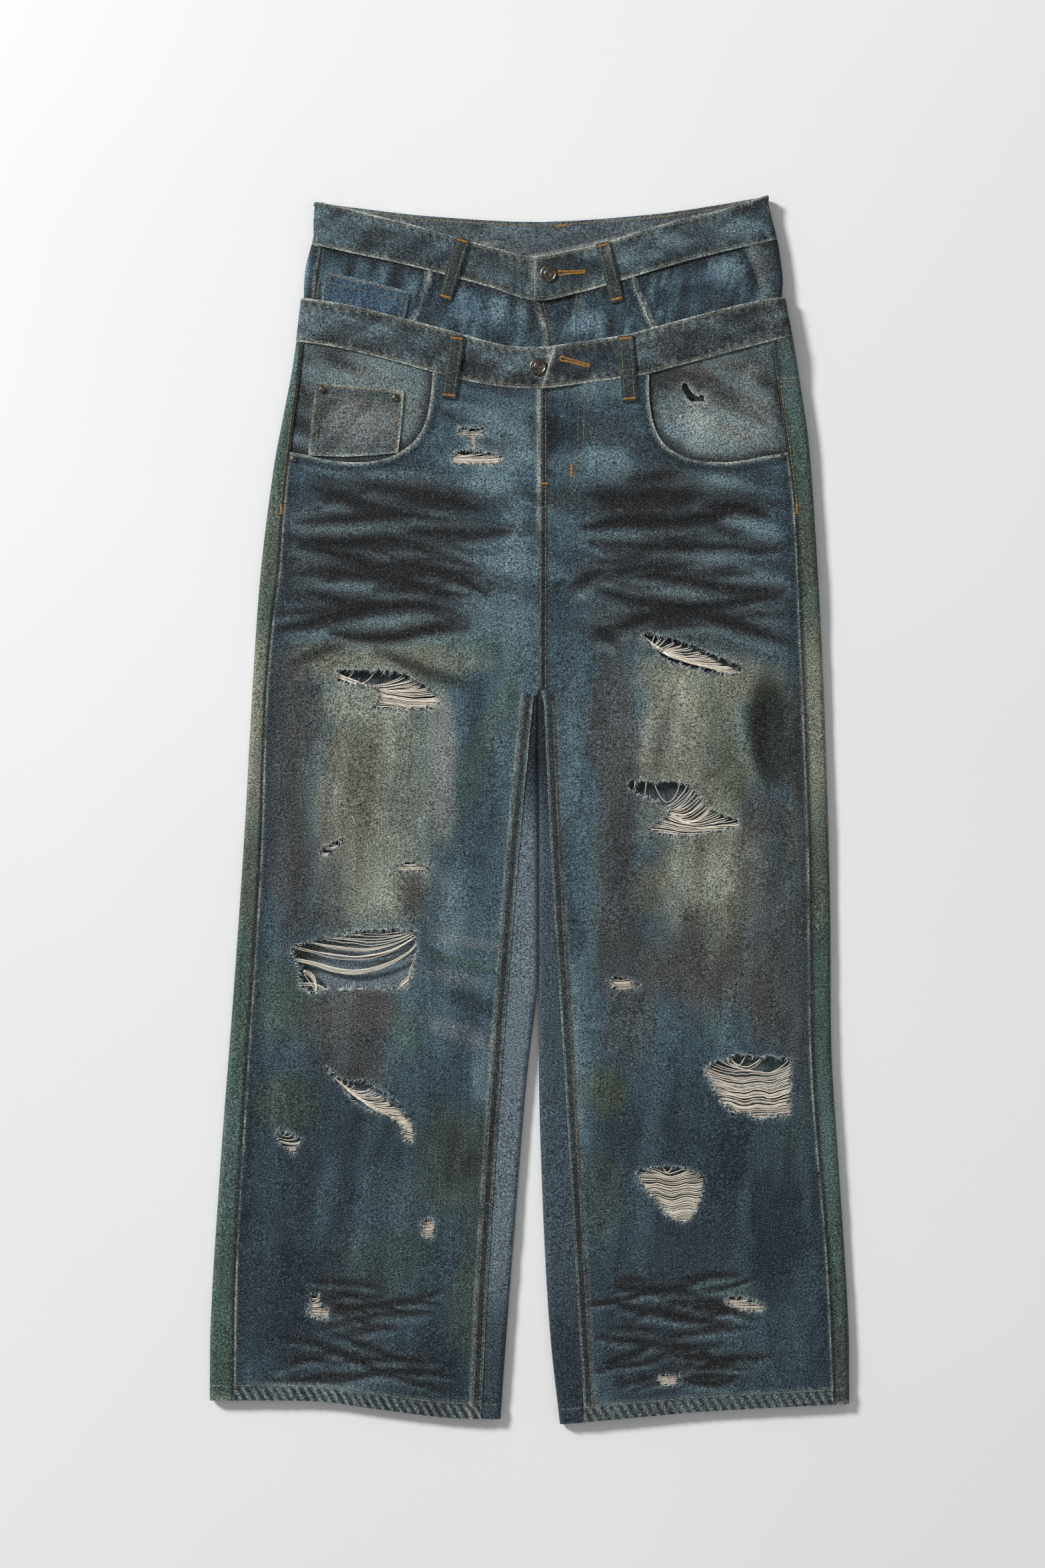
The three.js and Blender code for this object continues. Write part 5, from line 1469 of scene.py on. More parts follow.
LOOP_ACROSS = np.array([-1, -0.94, -0.84, -0.66, -0.4, 0, 0.4, 0.66, 0.84, 0.94, 1])
for name, (top, bottom, width) in LOOP_PATHS.items():
    top, bottom = np.array(top, float), np.array(bottom, float)
    along = np.linspace(0, 1, 34)
    axis = (top - bottom) / np.hypot(*(top - bottom))
    side = np.array([axis[1], -axis[0]]) * width / 2
    x = bottom[0] + (top - bottom)[0] * along[None, :] + LOOP_ACROSS[:, None] * side[0]
    y = bottom[1] + (top - bottom)[1] * along[None, :] + LOOP_ACROSS[:, None] * side[1]
    middle = loop_height(name, bottom[0] + (top - bottom)[0] * along, bottom[1] + (top - bottom)[1] * along)
    arch = 1.6 * np.sin(np.pi * np.clip((along - 0.3) / 0.62, 0, 1)) ** 2
    stitch_groove = np.exp(-(((np.abs(LOOP_ACROSS) - 0.62) / 0.12) ** 2))[:, None]
    crown = 0.35 * (1 - np.abs(LOOP_ACROSS) ** 4)[:, None] - 0.22 * stitch_groove
    z = (middle + arch * 0.5)[None, :] + crown + 0.12 * clouds(x, y, 7, 92)
    cloth_piece(f"cloth_{name}", (x, y, z), quads_of(x.shape).tolist(), loop_wash, name,
                thickness=1.6, round_edges=True)

# %% Hidden loops and pockets
BACK_LOOPS = {"right": -118, "centre": 0, "left": 118}
for tier, low_seam, high_seam, over in (("lower", lower_back_bottom, lower_back_top, 5),
                                        ("upper", upper_back_bottom, upper_back_top, 0)):
    for place, middle in BACK_LOOPS.items():
        low, high = float(low_seam(middle)) - over, float(high_seam(middle)) + over
        x, y = np.meshgrid(middle + 6 * LOOP_ACROSS, np.linspace(low, high, 24), indexing="ij")
        z = 0.95 - 0.12 * np.abs((x - middle) / 6) ** 4 + 0.08 * clouds(x, y, 9, 93)
        name = f"loop_{tier}_back_{place}"
        cloth_piece(f"cloth_{name}", (x, y, z), quads_of(x.shape).tolist(), loop_wash, name,
                    thickness=1.5, round_edges=True)

BACK_POCKET = [(45, 892), (115, 890), (186, 888), (183, 826), (181, 765), (148, 754), (116, 743), (84, 754),
               (52, 765), (48, 826)]


def pocket_wash(x, y, used=None):
    colours = tint(np.tile(rgb("#47596A"), (len(x), 1)), FADE_AND_HIGHLIGHT_BLUE, 0.6 * ramp(0, 0.8, clouds(x, y, 60, 94)))
    for leg in legs.values():
        edge = np.array([(leg.side * px, py) for px, py in [*BACK_POCKET, BACK_POCKET[0]]], float)
        colours = rubbed(x, y, colours, distance_to(x, y, edge, 10)[0], 3, 0.6)
    return colours


for hand, leg in legs.items():
    outline = np.array([(leg.side * px, py) for px, py in BACK_POCKET], float)
    x, y, faces = cut_cloth(*patch(outline, step=5), (), outline, reach=2.6)
    cloth_piece(f"cloth_back_pocket_{hand}", (x, y, 0.6 + 0.08 * clouds(x, y, 30, 95)), faces, pocket_wash,
                f"back_pocket_{hand}", thickness=1.0)
print("cloth pieces:", len(CUTS))

# %% [markdown]
# ## Threads across the rips
# Where denim is torn, the dyed warp wears away first and the undyed weft stays, hanging across the hole. Each
# thread is fixed in the cloth at both sides, and it has slipped down, so the threads leave a dark gap above
# and lie close together below. They are thin tubes, drawn thicker than cotton yarn so that they can be seen.

# %% Tubes
chance = np.random.default_rng(7)


def tubes(paths, radii, shades, sides=4):
    """Many thin closed tubes as one list of points, faces and shades. paths: threads x places x 3, mm."""
    paths = np.asarray(paths, float)
    count, places = paths.shape[:2]
    along = np.gradient(paths, axis=1)
    along /= np.linalg.norm(along, axis=2, keepdims=True) + 1e-9
    beside = np.cross(along, [0.05, 0.03, 1.0])
    beside /= np.linalg.norm(beside, axis=2, keepdims=True) + 1e-9
    above = np.cross(beside, along)
    angle = 2 * np.pi * (np.arange(sides) + 0.5) / sides
    ring = (beside[:, :, None] * np.cos(angle)[:, None] + above[:, :, None] * np.sin(angle)[:, None])
    points = paths[:, :, None] + ring * np.asarray(radii)[:, :, None, None]
    start = np.arange(count)[:, None, None] * places * sides
    i, k = np.meshgrid(np.arange(places - 1), np.arange(sides), indexing="ij")
    a, b = i * sides + k, i * sides + (k + 1) % sides
    quads = np.stack([a, a + sides, b + sides, b], axis=-1).reshape(1, -1, 4) + start
    caps = np.stack([np.arange(sides), np.arange(sides)[::-1] + (places - 1) * sides])[None] + start
    faces = quads.reshape(-1, 4).tolist() + caps.reshape(-1, sides).tolist()
    dye = np.repeat(np.asarray(shades), places * sides, axis=0)
    return points.reshape(-1, 3), faces, dye


def frame_points(points):
    return to_metres(points[:, 0], points[:, 1], points[:, 2])


def gather(parts):
    """Joins lists of points, faces and shades."""
    points, faces, dyes, start = [], [], [], 0
    for part_points, part_faces, dye in parts:
        points.append(part_points)
        faces += [[k + start for k in face] for face in part_faces]
        dyes.append(dye)
        start += len(part_points)
    return np.vstack(points), faces, np.vstack(dyes)


# %% Weft threads
ECRU, CREAM, SHADED, ROSE = rgb("#DDD2BE"), rgb("#FAF4E8"), rgb("#82796B"), rgb("#CDB6A8")
YARN = 0.5  # radius: real yarn is about 0.25


def span_at(outline, y):
    """The widest stretch of a rip at a height."""
    crossings = []
    for (x0, y0), (x1, y1) in zip(outline, np.roll(outline, -1, axis=0)):
        if (y0 > y) != (y1 > y):
            crossings.append(x0 + (x1 - x0) * (y - y0) / (y1 - y0))
    crossings.sort()
    pairs = list(zip(crossings[::2], crossings[1::2]))
    return max(pairs, key=lambda pair: pair[1] - pair[0]) if pairs else None


def weft(outline, spacing=1.25, sag=0.35, wave=0.7, tilt=0.0, skip=0.0, tone=1.0, places=18, droop=1.2):
    """Threads across one rip, from its lowest to its highest."""
    bottom, top = outline[:, 1].min(), outline[:, 1].max()
    paths, radii, shades = [], [], []
    for anchor in np.arange(bottom + 0.5, top - 0.4, spacing):
        anchor += chance.uniform(-0.3, 0.3)
        span = span_at(outline, anchor)
        missing = chance.random() < skip
        if span is None or span[1] - span[0] < 2.5 or missing:
            continue
        x0, x1 = span[0] - 2.5, span[1] + 2.5
        t = np.linspace(0, 1, places)
        x = mix(x0, x1, t)
        hang = np.sin(np.pi * t) ** 0.8
        fall = sag * (anchor - bottom) * hang * chance.uniform(0.8, 1.15)
        ripple = wave * np.clip(hang * 1.6, 0, 1) * (
            1.3 * cloud(x, np.full(places, anchor * 0.55), 13, 401)
            + 0.5 * cloud(x, np.full(places, anchor), 5, 402))
        y = anchor + tilt * (x - (x0 + x1) / 2) - fall + ripple
        y = np.maximum(y, bottom - 0.4 + 0.3 * chance.random())
        paths.append(np.stack([x, y, -0.1 - droop * hang * chance.uniform(0.4, 1.1)], axis=1))
        radii.append(YARN * chance.uniform(0.7, 1.15) * (0.85 + 0.3 * chance.random(places)))
        lightness = chance.uniform(0, 1)
        shade = mix(mix(ECRU, CREAM, lightness), ROSE, 0.35 * chance.random() ** 2)
        shades.append(mix(SHADED, shade, tone * chance.uniform(0.75, 1.0)))
    if not paths:
        return None
    paths = np.array(paths)
    middles = paths.mean(axis=1)[:, 1]
    paths[..., 2] += leg_front(paths[..., 0], np.repeat(middles[:, None], places, axis=1))
    return tubes(paths, radii, shades)


WEFTS = {
    "right_hip_bar": dict(spacing=1.1, sag=0.1, wave=0.3),
    "right_hip_slot": dict(spacing=1.0, sag=0.35, wave=0.5),
    "right_thigh": dict(spacing=1.15, sag=0.3, wave=1.0, tilt=-0.1),
    "right_slant": dict(spacing=1.6, sag=0.2, wave=0.6, skip=0.3),
    "right_small_slot": dict(spacing=1.0, sag=0.2, wave=0.3),
    "right_shin": dict(spacing=1.15, sag=0.15, wave=0.6, tilt=-0.35),
    "right_triangle": dict(spacing=1.5, sag=0.2, wave=0.6, skip=0.2),
    "right_fleck": dict(spacing=1.1, sag=0.1, wave=0.4),
    "right_ankle": dict(spacing=1.2, sag=0.2, wave=0.5),
    "left_thigh": dict(spacing=1.1, sag=0.25, wave=0.9, tilt=-0.22),
    "left_knee": dict(spacing=1.3, sag=0.45, wave=1.2, tilt=-0.05),
    "left_small_slot": dict(spacing=1.1, sag=0.15, wave=0.3),
    "left_calf": dict(spacing=1.3, sag=0.22, wave=1.6),
    "left_shin": dict(spacing=1.2, sag=0.12, wave=1.3),
    "left_ankle": dict(spacing=1.1, sag=0.2, wave=0.4),
    "left_fleck": dict(spacing=1.1, sag=0.15, wave=0.3),
}


def hand_threads(strands, lower):
    """Single threads or bundles, each given as places along one, how many, how far they spread, and a sag."""
    paths, radii, shades = [], [], []
    for places, count, spread, sag in strands:
        line = smooth_path(places, 6)
        t = np.linspace(0, 1, 22)
        line = np.stack([np.interp(t, np.linspace(0, 1, len(line)), line[:, k]) for k in (0, 1)], axis=1)
        for _ in range(count):
            shift = chance.normal(0, spread, 2)
            ripple = 0.8 * cloud(line[:, 0], np.full(22, shift[1] * 9), 12, 403)
            hang = np.sin(np.pi * t)
            x, y = line[:, 0] + 0.3 * shift[0], line[:, 1] + shift[1] * (0.4 + hang) + ripple - sag * hang
            z = leg_front(x, y) - 0.1 - lower * hang * chance.uniform(0.5, 1)
            paths.append(np.stack([x, y, z], axis=1))
            radii.append(np.full(22, YARN * chance.uniform(0.7, 1.15)))
            shades.append(mix(ECRU, CREAM, chance.random()) * chance.uniform(0.8, 1.0))
    return tubes(paths, radii, shades)


KNEE_STRANDS = [
    ([(-228, 421), (-205, 416), (-172, 409), (-145, 414), (-118, 427), (-111, 436)], 7, 1.1, 0.5),
    ([(-222, 430), (-195, 424), (-165, 421), (-135, 427), (-110, 441)], 4, 1.0, 0.5),
    ([(-215, 435), (-190, 431), (-160, 428), (-130, 434), (-112, 443)], 5, 1.3, 0),
    ([(-200, 439), (-175, 436), (-150, 434), (-125, 439), (-112, 445)], 4, 0.9, 0),
    ([(-185, 441), (-160, 440), (-140, 440), (-115, 444)], 3, 0.7, 0),
    ([(-218, 397), (-205, 396), (-196, 392), (-190, 388)], 8, 1.2, 0),
    ([(-214, 408), (-206, 402), (-203, 393), (-203, 387)], 8, 1.8, 0),
    ([(-130, 391), (-124, 398), (-114, 405), (-110, 409)], 6, 1.3, 0),
    ([(-112, 425), (-114, 415), (-118, 404), (-119, 394)], 5, 1.4, 0),
    ([(-196, 392), (-175, 391.5), (-150, 392), (-128, 392)], 5, 0.7, 0),
]
for hand in legs:
    parts = [weft(ragged_rips[name], **settings) for name, settings in WEFTS.items() if name.startswith(hand)]
    if hand == "right":
        parts.append(hand_threads(KNEE_STRANDS, 2.0))
    points, faces, dye = gather([part for part in parts if part])
    threads = new_mesh(f"weft_threads_{hand}", frame_points(points), faces, [weft_thread], dye, 180)
    print(f"weft threads {hand}:", len(faces), "faces")

# %% [markdown]
# ## Frayed edges
# Along every torn edge the broken warp stands out as short curled fibres, dark blue where it kept its dye and
# nearly white where it did not. Pale tufts gather where the tearing stopped.

# %% Fray
def fray(outline, density=1.6, reach=3.4, pale=0.5):
    """Curled fibres that start in the cloth beside a torn edge."""
    closed = np.vstack([outline, outline[:1]])
    lengths = np.r_[0, np.cumsum(np.hypot(*np.diff(closed, axis=0).T))]
    count = int(lengths[-1] * density)
    where = chance.random(count) * lengths[-1]
    start = np.stack([np.interp(where, lengths, closed[:, k]) for k in (0, 1)], axis=1)
    ahead = np.stack([np.interp((where + 0.5) % lengths[-1], lengths, closed[:, k]) for k in (0, 1)], axis=1)
    along = ahead - start
    along /= np.hypot(*along.T)[:, None] + 1e-9
    inward = np.stack([-along[:, 1], along[:, 0]], axis=1)
    probe = start + inward * 1.2
    inward *= np.where(inside(probe[:, 0], probe[:, 1], outline), 1, -1)[:, None]
    places = 7
    t = np.linspace(0, 1, places)[None, :, None]
    length = (reach * chance.uniform(0.3, 1.0, count) ** 1.4)[:, None, None]
    lean = chance.normal(0, 0.8, count)[:, None, None]
    curl = chance.normal(0, 1.3, count)[:, None, None]
    path = start[:, None] - inward[:, None] * 1.2 + inward[:, None] * (t * (length + 1.2))
    path = path + along[:, None] * length * (lean * t + curl * t * t * 0.6)
    path = path + chance.normal(0, 0.12, path.shape)
    lift = (0.35 + 0.9 * chance.random(count)[:, None] * np.sin(np.pi * t[:, :, 0] * 0.8))
    z = leg_front(path[..., 0].ravel(), path[..., 1].ravel()).reshape(path.shape[:2]) + lift
    radii = 0.22 * (1.15 - 0.6 * t[:, :, 0]) * chance.uniform(0.7, 1.3, count)[:, None]
    white = chance.random(count) < pale
    shades = np.where(white[:, None], mix(rgb("#9FB4B8"), rgb("#EEF0EA"), chance.random(count)[:, None]),
                      mix(rgb("#141A20"), rgb("#3C5266"), chance.random(count)[:, None]))
    return tubes(np.dstack([path, z]), radii, shades, sides=3)


FRAY = {"right_knee": dict(density=2.0, reach=5.0, pale=0.5), "left_calf": dict(density=1.8, reach=4.0)}
for hand in legs:
    parts = [fray(line, **FRAY.get(name, {})) for name, line in ragged_rips.items() if name.startswith(hand)]
    points, faces, dye = gather(parts)
    fibres = new_mesh(f"frayed_edges_{hand}", frame_points(points), faces, [weft_thread], dye, 180)
    print(f"fray {hand}:", len(faces), "faces")

# %% [markdown]
# ## Stitches
# Topstitching is a row of short thread humps that sink into the cloth at each end. One stitch is modelled
# as a six-sided bar with tapered ends, and copies of it are laid along every seam. To lie exactly on the
# cloth, each copy is dropped from above onto the piece that it is sewn to.

# %% One stitch
bpy.ops.object.select_all(action="DESELECT")
bpy.ops.mesh.primitive_cylinder_add(vertices=6, radius=0.5, depth=0.62, rotation=(0, math.pi / 2, 0))
stitch = bpy.context.object
bpy.ops.object.transform_apply(rotation=True)
bpy.ops.object.mode_set(mode="EDIT")
bpy.ops.mesh.select_mode(type="FACE")
for side in (-1, 1):
    bpy.ops.mesh.select_all(action="DESELECT")
    net = bmesh.from_edit_mesh(stitch.data)
    for face in net.faces:
        face.select = face.normal.x * side > 0.9
    bmesh.update_edit_mesh(stitch.data)
    bpy.ops.mesh.inset(thickness=0.2, depth=0.19)
bpy.ops.object.mode_set(mode="OBJECT")
STITCH_POINTS = np.array([vertex.co[:] for vertex in stitch.data.vertices])
STITCH_FACES = [list(face.vertices) for face in stitch.data.polygons]
bpy.data.objects.remove(stitch)
print("one stitch:", len(STITCH_FACES), "faces, length", round(float(np.ptp(STITCH_POINTS[:, 0])), 2))

# %% Laying stitches
from mathutils.bvhtree import BVHTree

surfaces = {}


def top_of(piece_name, x, y, missing=0.0):
    """Height of a piece's top surface under each place, in mm."""
    if piece_name not in surfaces:
        mesh = bpy.data.objects[piece_name].data
        surfaces[piece_name] = BVHTree.FromPolygons([vertex.co for vertex in mesh.vertices],
                                                    [face.vertices for face in mesh.polygons])
    places = to_metres(np.asarray(x, float), np.asarray(y, float), np.full(np.shape(x), 60.0))
    heights = []
    for place in places:
        hit = surfaces[piece_name].ray_cast(Vector(place), Vector((0, 0, -1)))[0]
        heights.append(hit.z / MM if hit else missing)
    return np.array(heights)


OLIVE_THREAD, DARK_THREAD = rgb("#6E6A55"), rgb("#3A3B38")
PALE_THREAD, ORANGE_THREAD = rgb("#A19C86"), rgb("#A8793C")
sewn = {"legs": [], "waist": []}


def lay_stitches(group, starts, ends, heights, shades, width=0.85, sink=0.1):
    """Copies the stitch between each start and end."""
    starts, ends = np.asarray(starts, float), np.asarray(ends, float)
    length = np.hypot(*(ends - starts).T)
    along = (ends - starts) / (length[:, None] + 1e-9)
    middle = (starts + ends) / 2
    x = STITCH_POINTS[None, :, 0] * length[:, None]
    y = STITCH_POINTS[None, :, 1] * width
    z = heights[:, None] - sink + STITCH_POINTS[None, :, 2] * width * 0.8
    px = middle[:, None, 0] + x * along[:, None, 0] - y * along[:, None, 1]
    py = middle[:, None, 1] + x * along[:, None, 1] + y * along[:, None, 0]
    points = np.stack([px, py, z + 0 * px], axis=-1).reshape(-1, 3)
    count = len(STITCH_POINTS)
    faces = [[k + copy * count for k in face] for copy in range(len(starts)) for face in STITCH_FACES]
    sewn[group].append((points, faces, np.repeat(shades, count, axis=0)))


def sew(group, piece_name, path, colour=OLIVE_THREAD, pitch=3.5, length=2.9, width=0.95, keep=None):
    """A row of stitches along a path, on one piece."""
    path = np.asarray(path, float)
    lengths = np.r_[0, np.cumsum(np.hypot(*np.diff(path, axis=0).T))]
    count = max(1, int(lengths[-1] / pitch))
    begin = (np.arange(count) + 0.5) * lengths[-1] / count - length / 2
    starts, ends = (np.stack([np.interp(begin + d, lengths, path[:, k]) for k in (0, 1)], axis=1)
                    for d in (0, length))
    middle = (starts + ends) / 2
    heights = top_of(piece_name, middle[:, 0], middle[:, 1], -99)
    held = heights > -50
    if keep is not None:
        held &= keep(middle[:, 0], middle[:, 1])
    if not held.any():
        return
    worn = chance.random(held.sum())[:, None]
    shades = mix(mix(colour, DARK_THREAD, 0.6), mix(colour, PALE_THREAD, 0.6), worn)
    lay_stitches(group, starts[held], ends[held], heights[held], shades, width)


def bartack(group, piece_name, start, end, width=1.9, colour=ORANGE_THREAD):
    """Close zigzag stitches that stop a seam from tearing."""
    start, end = np.array(start, float), np.array(end, float)
    length = np.hypot(*(end - start))
    along = (end - start) / length
    beside = np.array([-along[1], along[0]])
    count = max(4, int(length / 0.62))
    middle = start + (end - start) * ((np.arange(count) + 0.5) / count)[:, None]
    height = top_of(piece_name, middle[:, 0], middle[:, 1], -99)
    lean = along * 0.3
    shades = colour * chance.uniform(0.8, 1.1, (count, 1))
    held = height > -50
    lay_stitches(group, (middle - beside * width / 2 - lean)[held],
                 (middle + beside * width / 2 + lean)[held],
                 height[held] + 0.1, shades[held], 0.7, 0.0)


def offset_path(path, distance):
    path = np.asarray(path, float)
    along = np.gradient(path, axis=0)
    along /= np.hypot(*along.T)[:, None] + 1e-9
    return path + distance * np.stack([-along[:, 1], along[:, 0]], axis=1)


def seam_path(line, low, high, shift=0.0, up=True, step=4.0):
    """Points along one of the pattern's lines, moved sideways."""
    t = np.arange(low, high, step)
    return np.stack([line(t) + shift, t] if up else [t, line(t) + shift], axis=1)


# %% Rows of stitches on the legs
for hand, leg in legs.items():
    front, back, side = f"cloth_front_{hand}", f"cloth_back_{hand}", leg.side
    inner_x, outer_x = float(leg.inseam(20)), float(leg.outseam(20))
    hem_x = sorted((inner_x + side * 2, outer_x - side * 2))
    sew("legs", front, seam_path(leg.hem, *hem_x, 13.2, up=False), OLIVE_THREAD, 3.8, 3.2)
    for ends in (sorted((outer_x + side, float(leg.edge(20)) - side * 2)),
                 sorted((inner_x - side, float(leg.fold(10)) + side * 2))):
        sew("legs", back, seam_path(leg.hem, *ends, 13.2, up=False, step=2), OLIVE_THREAD, 3.8, 3.2)
    for shift in (2.4, 8.0):
        sew("legs", front, seam_path(leg.inseam, 16, 655, side * shift), OLIVE_THREAD, 3.4, 2.7)
    sew("legs", back, seam_path(leg.outseam, 828, 940, side * 2.6), ORANGE_THREAD, 3.6, 3.0)
    bartack("legs", back, (leg.outseam(824) + side * 2.2, 820), (leg.outseam(824) + side * 2.2, 829))
    opening = POCKET_OPENING[hand][:-1]
    turn = 1 if leg is right else -1
    for shift in (2.2, 7.4):
        path = offset_path(opening, -turn * shift)
        sew("legs", front, path[path[:, 1] < 946], OLIVE_THREAD, 3.3, 2.7)
    for shift in (2.0, 6.0):
        strip = sorted((float(leg.outseam(938)) + side * 1.5, float(leg.edge(938)) - side * 3))
        sew("legs", back, seam_path(level(YOKE_SIDE - shift), *strip, up=False, step=2), ORANGE_THREAD, 3.3,
            2.7)
J_SEAM = smooth_path([(34, 932), (33.4, 900), (32.6, 873), (28, 848), (12.7, 829.5), (-1, 826)], 3)
sew("legs", "cloth_front_left", J_SEAM, OLIVE_THREAD, 3.3, 2.8)
sew("legs", "cloth_front_left", offset_path(J_SEAM, 5.0)[:-1], OLIVE_THREAD, 3.3, 2.8)
for shift in (1.4, 6.0):
    sew("legs", "cloth_front_left", [(RISE_X + shift, 932), (RISE_X + shift, 664)], OLIVE_THREAD, 3.4, 2.8)
bartack("legs", "cloth_front_left", (27.4, 853), (27.4, 865))
bartack("legs", "cloth_front_left", (-0.5, 847.5), (6, 847.5))
COIN_TOP = [COIN_LOWER[2], COIN_LOWER[1], COIN_LOWER[0]]
for shift, colour in ((2.2, ORANGE_THREAD), (12.0, OLIVE_THREAD)):
    path = np.array(smooth_path(COIN_TOP, 4)) - [0, shift]
    sew("legs", "cloth_coin_pocket", path[1:-1], colour, 3.2, 2.6)
for shift in (2.0, 6.2):
    sew("legs", "cloth_coin_pocket", [(-203 + shift, 935), (-207 + shift, 905), (-209.5 + shift, 876)],
        OLIVE_THREAD, 3.2, 2.6)
    sew("legs", "cloth_coin_pocket", [(-124.5 - shift, 927), (-126.5 - shift, 900), (-129 - shift, 877)],
        OLIVE_THREAD, 3.2, 2.6)

# %% Rows of stitches on the waist
for band, tops, bottoms, reach in (("waistband_lower_cloth", lower_top, lower_bottom, 209),
                                   ("waistband_upper_cloth", upper_top, upper_bottom, 193)):
    for seam_line, shift in ((tops, -3.2), (bottoms, 3.2)):
        sew("waist", band, seam_path(seam_line, -reach, reach, shift, up=False), OLIVE_THREAD, 3.3, 2.8)
inside_row = seam_path(upper_back_top, -190, 190, -3.0, up=False)
sew("waist", "waistband_upper_cloth", inside_row, ORANGE_THREAD, 3.0, 2.5,
    keep=lambda x, y: y > upper_top(x) + 1.5)
bartack("waist", "waistband_upper_cloth", (14, 1080), (22, 1081))
for hand, leg in legs.items():
    front, side = f"cloth_upper_front_{hand}", leg.side
    opening = smooth_path(UPPER_OPENING[hand][1:-2], 3)
    for shift in (1.8, 6.4):
        turn = 1 if leg is right else -1
        sew("waist", front, offset_path(opening, -turn * shift), OLIVE_THREAD, 3.3, 2.7)
for shift in (1.8, 5.6):
    fly_row = seam_path(FLY_X, 975, 1014, shift)
    sew("waist", "cloth_upper_front_left", fly_row, OLIVE_THREAD, 3.3, 2.7)
sew("waist", "cloth_upper_front_left", [(32, 1022), (31, 1000), (30, 978)], OLIVE_THREAD, 3.3, 2.7)
sew("waist", "cloth_upper_front_left", [(36, 1022), (35, 1000), (34, 980)], OLIVE_THREAD, 3.3, 2.7)
for shift, colour in ((2.0, ORANGE_THREAD), (9.5, OLIVE_THREAD)):
    sew("waist", "cloth_upper_coin_pocket",
        np.array([(-192, 1038), (-156, 1029.6), (-120, 1020.6)]) - [0, shift],
        colour, 3.2, 2.6)
for shift in (2.0, 5.6):
    sew("waist", "cloth_upper_coin_pocket", [(-195 + shift, 1036), (-198 + shift, 1012), (-199 + shift, 992)],
        OLIVE_THREAD, 3.2, 2.6)
    sew("waist", "cloth_upper_coin_pocket",
        [(-118 - shift, 1017), (-121.5 - shift, 1002), (-125 - shift, 988)],
        OLIVE_THREAD, 3.2, 2.6)
for name, (top, bottom, width) in LOOP_PATHS.items():
    top, bottom = np.array(top), np.array(bottom)
    axis = (top - bottom) / np.hypot(*(top - bottom))
    across = np.array([axis[1], -axis[0]])
    for share in (-0.64, 0.64):
        beside = across * share * width / 2
        sew("waist", f"cloth_{name}", [bottom + axis * 1.5 + beside, top - axis * 1.5 + beside], OLIVE_THREAD,
            3.0, 2.5)
    for end, way in ((top, -1), (bottom, 1)):
        middle = end + way * axis * 2.6
        bartack("waist", f"cloth_{name}", middle - across * width * 0.4, middle + across * width * 0.4, 1.8)

# %% Buttonholes
def buttonhole(piece_name, eye, tail):
    """Close stitches in a keyhole shape: a ring of spokes round its eye, two rows along its sides and a bar
    across its tail.
    """
    eye, tail = np.array(eye, float), np.array(tail, float)
    along = (tail - eye) / np.hypot(*(tail - eye))
    beside = np.array([-along[1], along[0]])
    for side in (-1, 1):
        start, end = eye + along * 2.4 + side * beside * 1.25, tail + side * beside * 0.9
        bartack("waist", piece_name, start, end, 1.7)
    turns = np.linspace(0.25, 1.75, 14) * np.pi
    spokes = np.stack([np.cos(turns), np.sin(turns)], axis=1) @ np.stack([along, beside])
    inner, outer = eye + spokes * 1.3, eye + spokes * 2.9
    heights = top_of(piece_name, *((inner + outer) / 2).T) + 0.1
    lay_stitches("waist", inner, outer, heights, np.tile(ORANGE_THREAD, (14, 1)), 0.7, 0.0)
    bartack("waist", piece_name, tail - beside * 1.8, tail + beside * 1.8, 1.6)


buttonhole("waistband_upper_cloth", (17, 1036.5), (39, 1038))
buttonhole("waistband_lower_cloth", (19, 959), (43, 953))

for group, parts in sewn.items():
    points, faces, dye = gather(parts)
    rows = new_mesh(f"stitches_{group}", frame_points(points), faces, [sewing_thread], dye, 60)
    print(f"stitches, {group}:", len(faces) // len(STITCH_FACES))

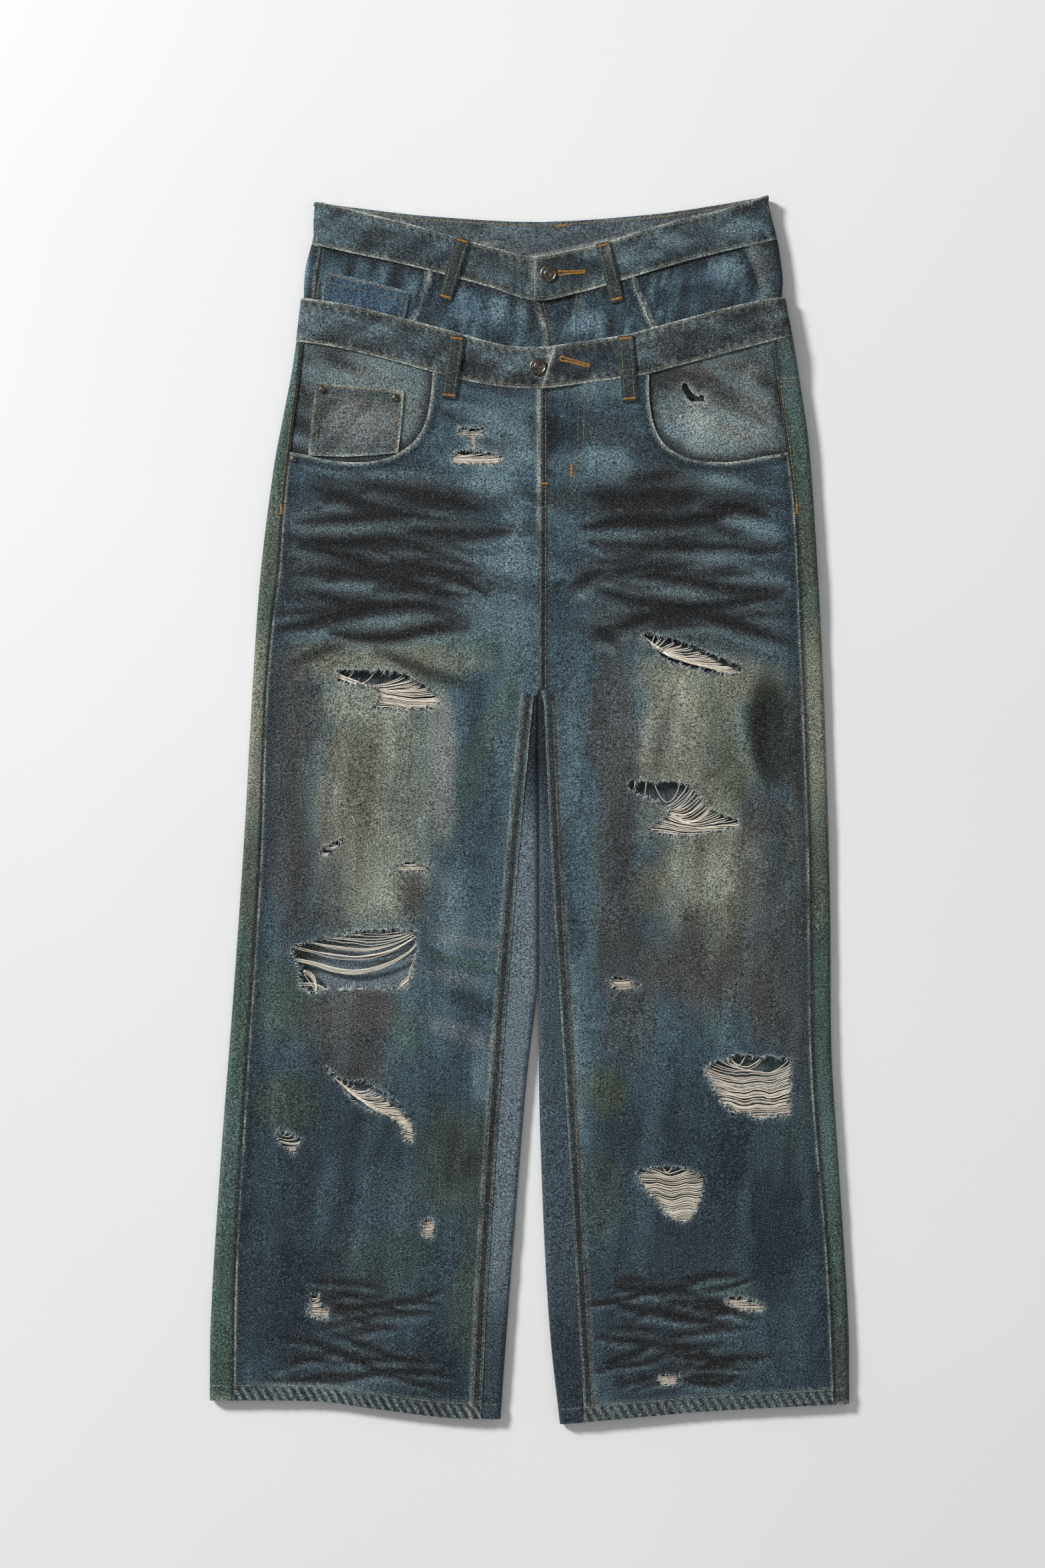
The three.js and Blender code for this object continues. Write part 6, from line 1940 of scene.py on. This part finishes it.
# %% [markdown]
# ## Buttons and rivets
# The buttons and rivets are stamped brass, plated dark. Each is one turned shape: a disc whose top face is
# inset again and again, up and down, as the stamping die made it. Their faces are bare.

# %% Hardware
def stamped(name, node, radius, height, steps, sides):
    """A disc at a construction node's place, with its top inset by (width, rise) steps."""
    low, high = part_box(node)
    middle = ((low.x + high.x) / 2, (low.y + high.y) / 2, low.z + height / 2)
    bpy.ops.object.select_all(action="DESELECT")
    bpy.ops.mesh.primitive_cylinder_add(vertices=sides, radius=radius, depth=height, location=middle)
    disc = bpy.context.object
    disc.name = name
    bpy.ops.object.transform_apply(location=True)
    bpy.ops.object.mode_set(mode="EDIT")
    bpy.ops.mesh.select_mode(type="FACE")
    bpy.ops.mesh.select_all(action="DESELECT")
    net = bmesh.from_edit_mesh(disc.data)
    for face in net.faces:
        face.select = face.normal.z > 0.9
    bmesh.update_edit_mesh(disc.data)
    for width, rise in steps:
        bpy.ops.mesh.inset(thickness=width * MM, depth=rise * MM)
    bpy.ops.object.mode_set(mode="OBJECT")
    bevel = disc.modifiers.new("stamped edge", "BEVEL")
    bevel.width, bevel.segments, bevel.limit_method = 0.18 * MM, 2, "ANGLE"
    apply_modifiers(disc)
    bpy.ops.object.shade_smooth_by_angle(angle=math.radians(30))
    disc.data.materials.append(gunmetal)
    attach(disc, "root")
    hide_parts(node)
    return disc


BUTTON_STEPS = [(0.7, 0.5), (0.7, 0.2), (0.5, -0.5), (0.5, -0.15), (1.5, 0.05), (0.5, 0.35), (0.5, 0.1),
                (0.7, -0.25)]
RIVET_STEPS = [(0.45, 0.35), (0.5, 0.2), (0.35, -0.15), (0.5, 0.25)]
for name in ("button_upper", "button_lower"):
    stamped(f"shank_{name}", name, 7.7 * MM, 1.1 * MM, BUTTON_STEPS, 48)
for name in ("rivet_pocket_right", "rivet_pocket_left", "rivet_coin_outer", "rivet_coin_inner"):
    stamped(f"stamped_{name}", name, 2.95 * MM, 0.6 * MM, RIVET_STEPS, 24)
print("buttons and rivets: 6")

# %% Finish
for name, cut in CUTS.items():
    width, length = sorted(cut.flat)
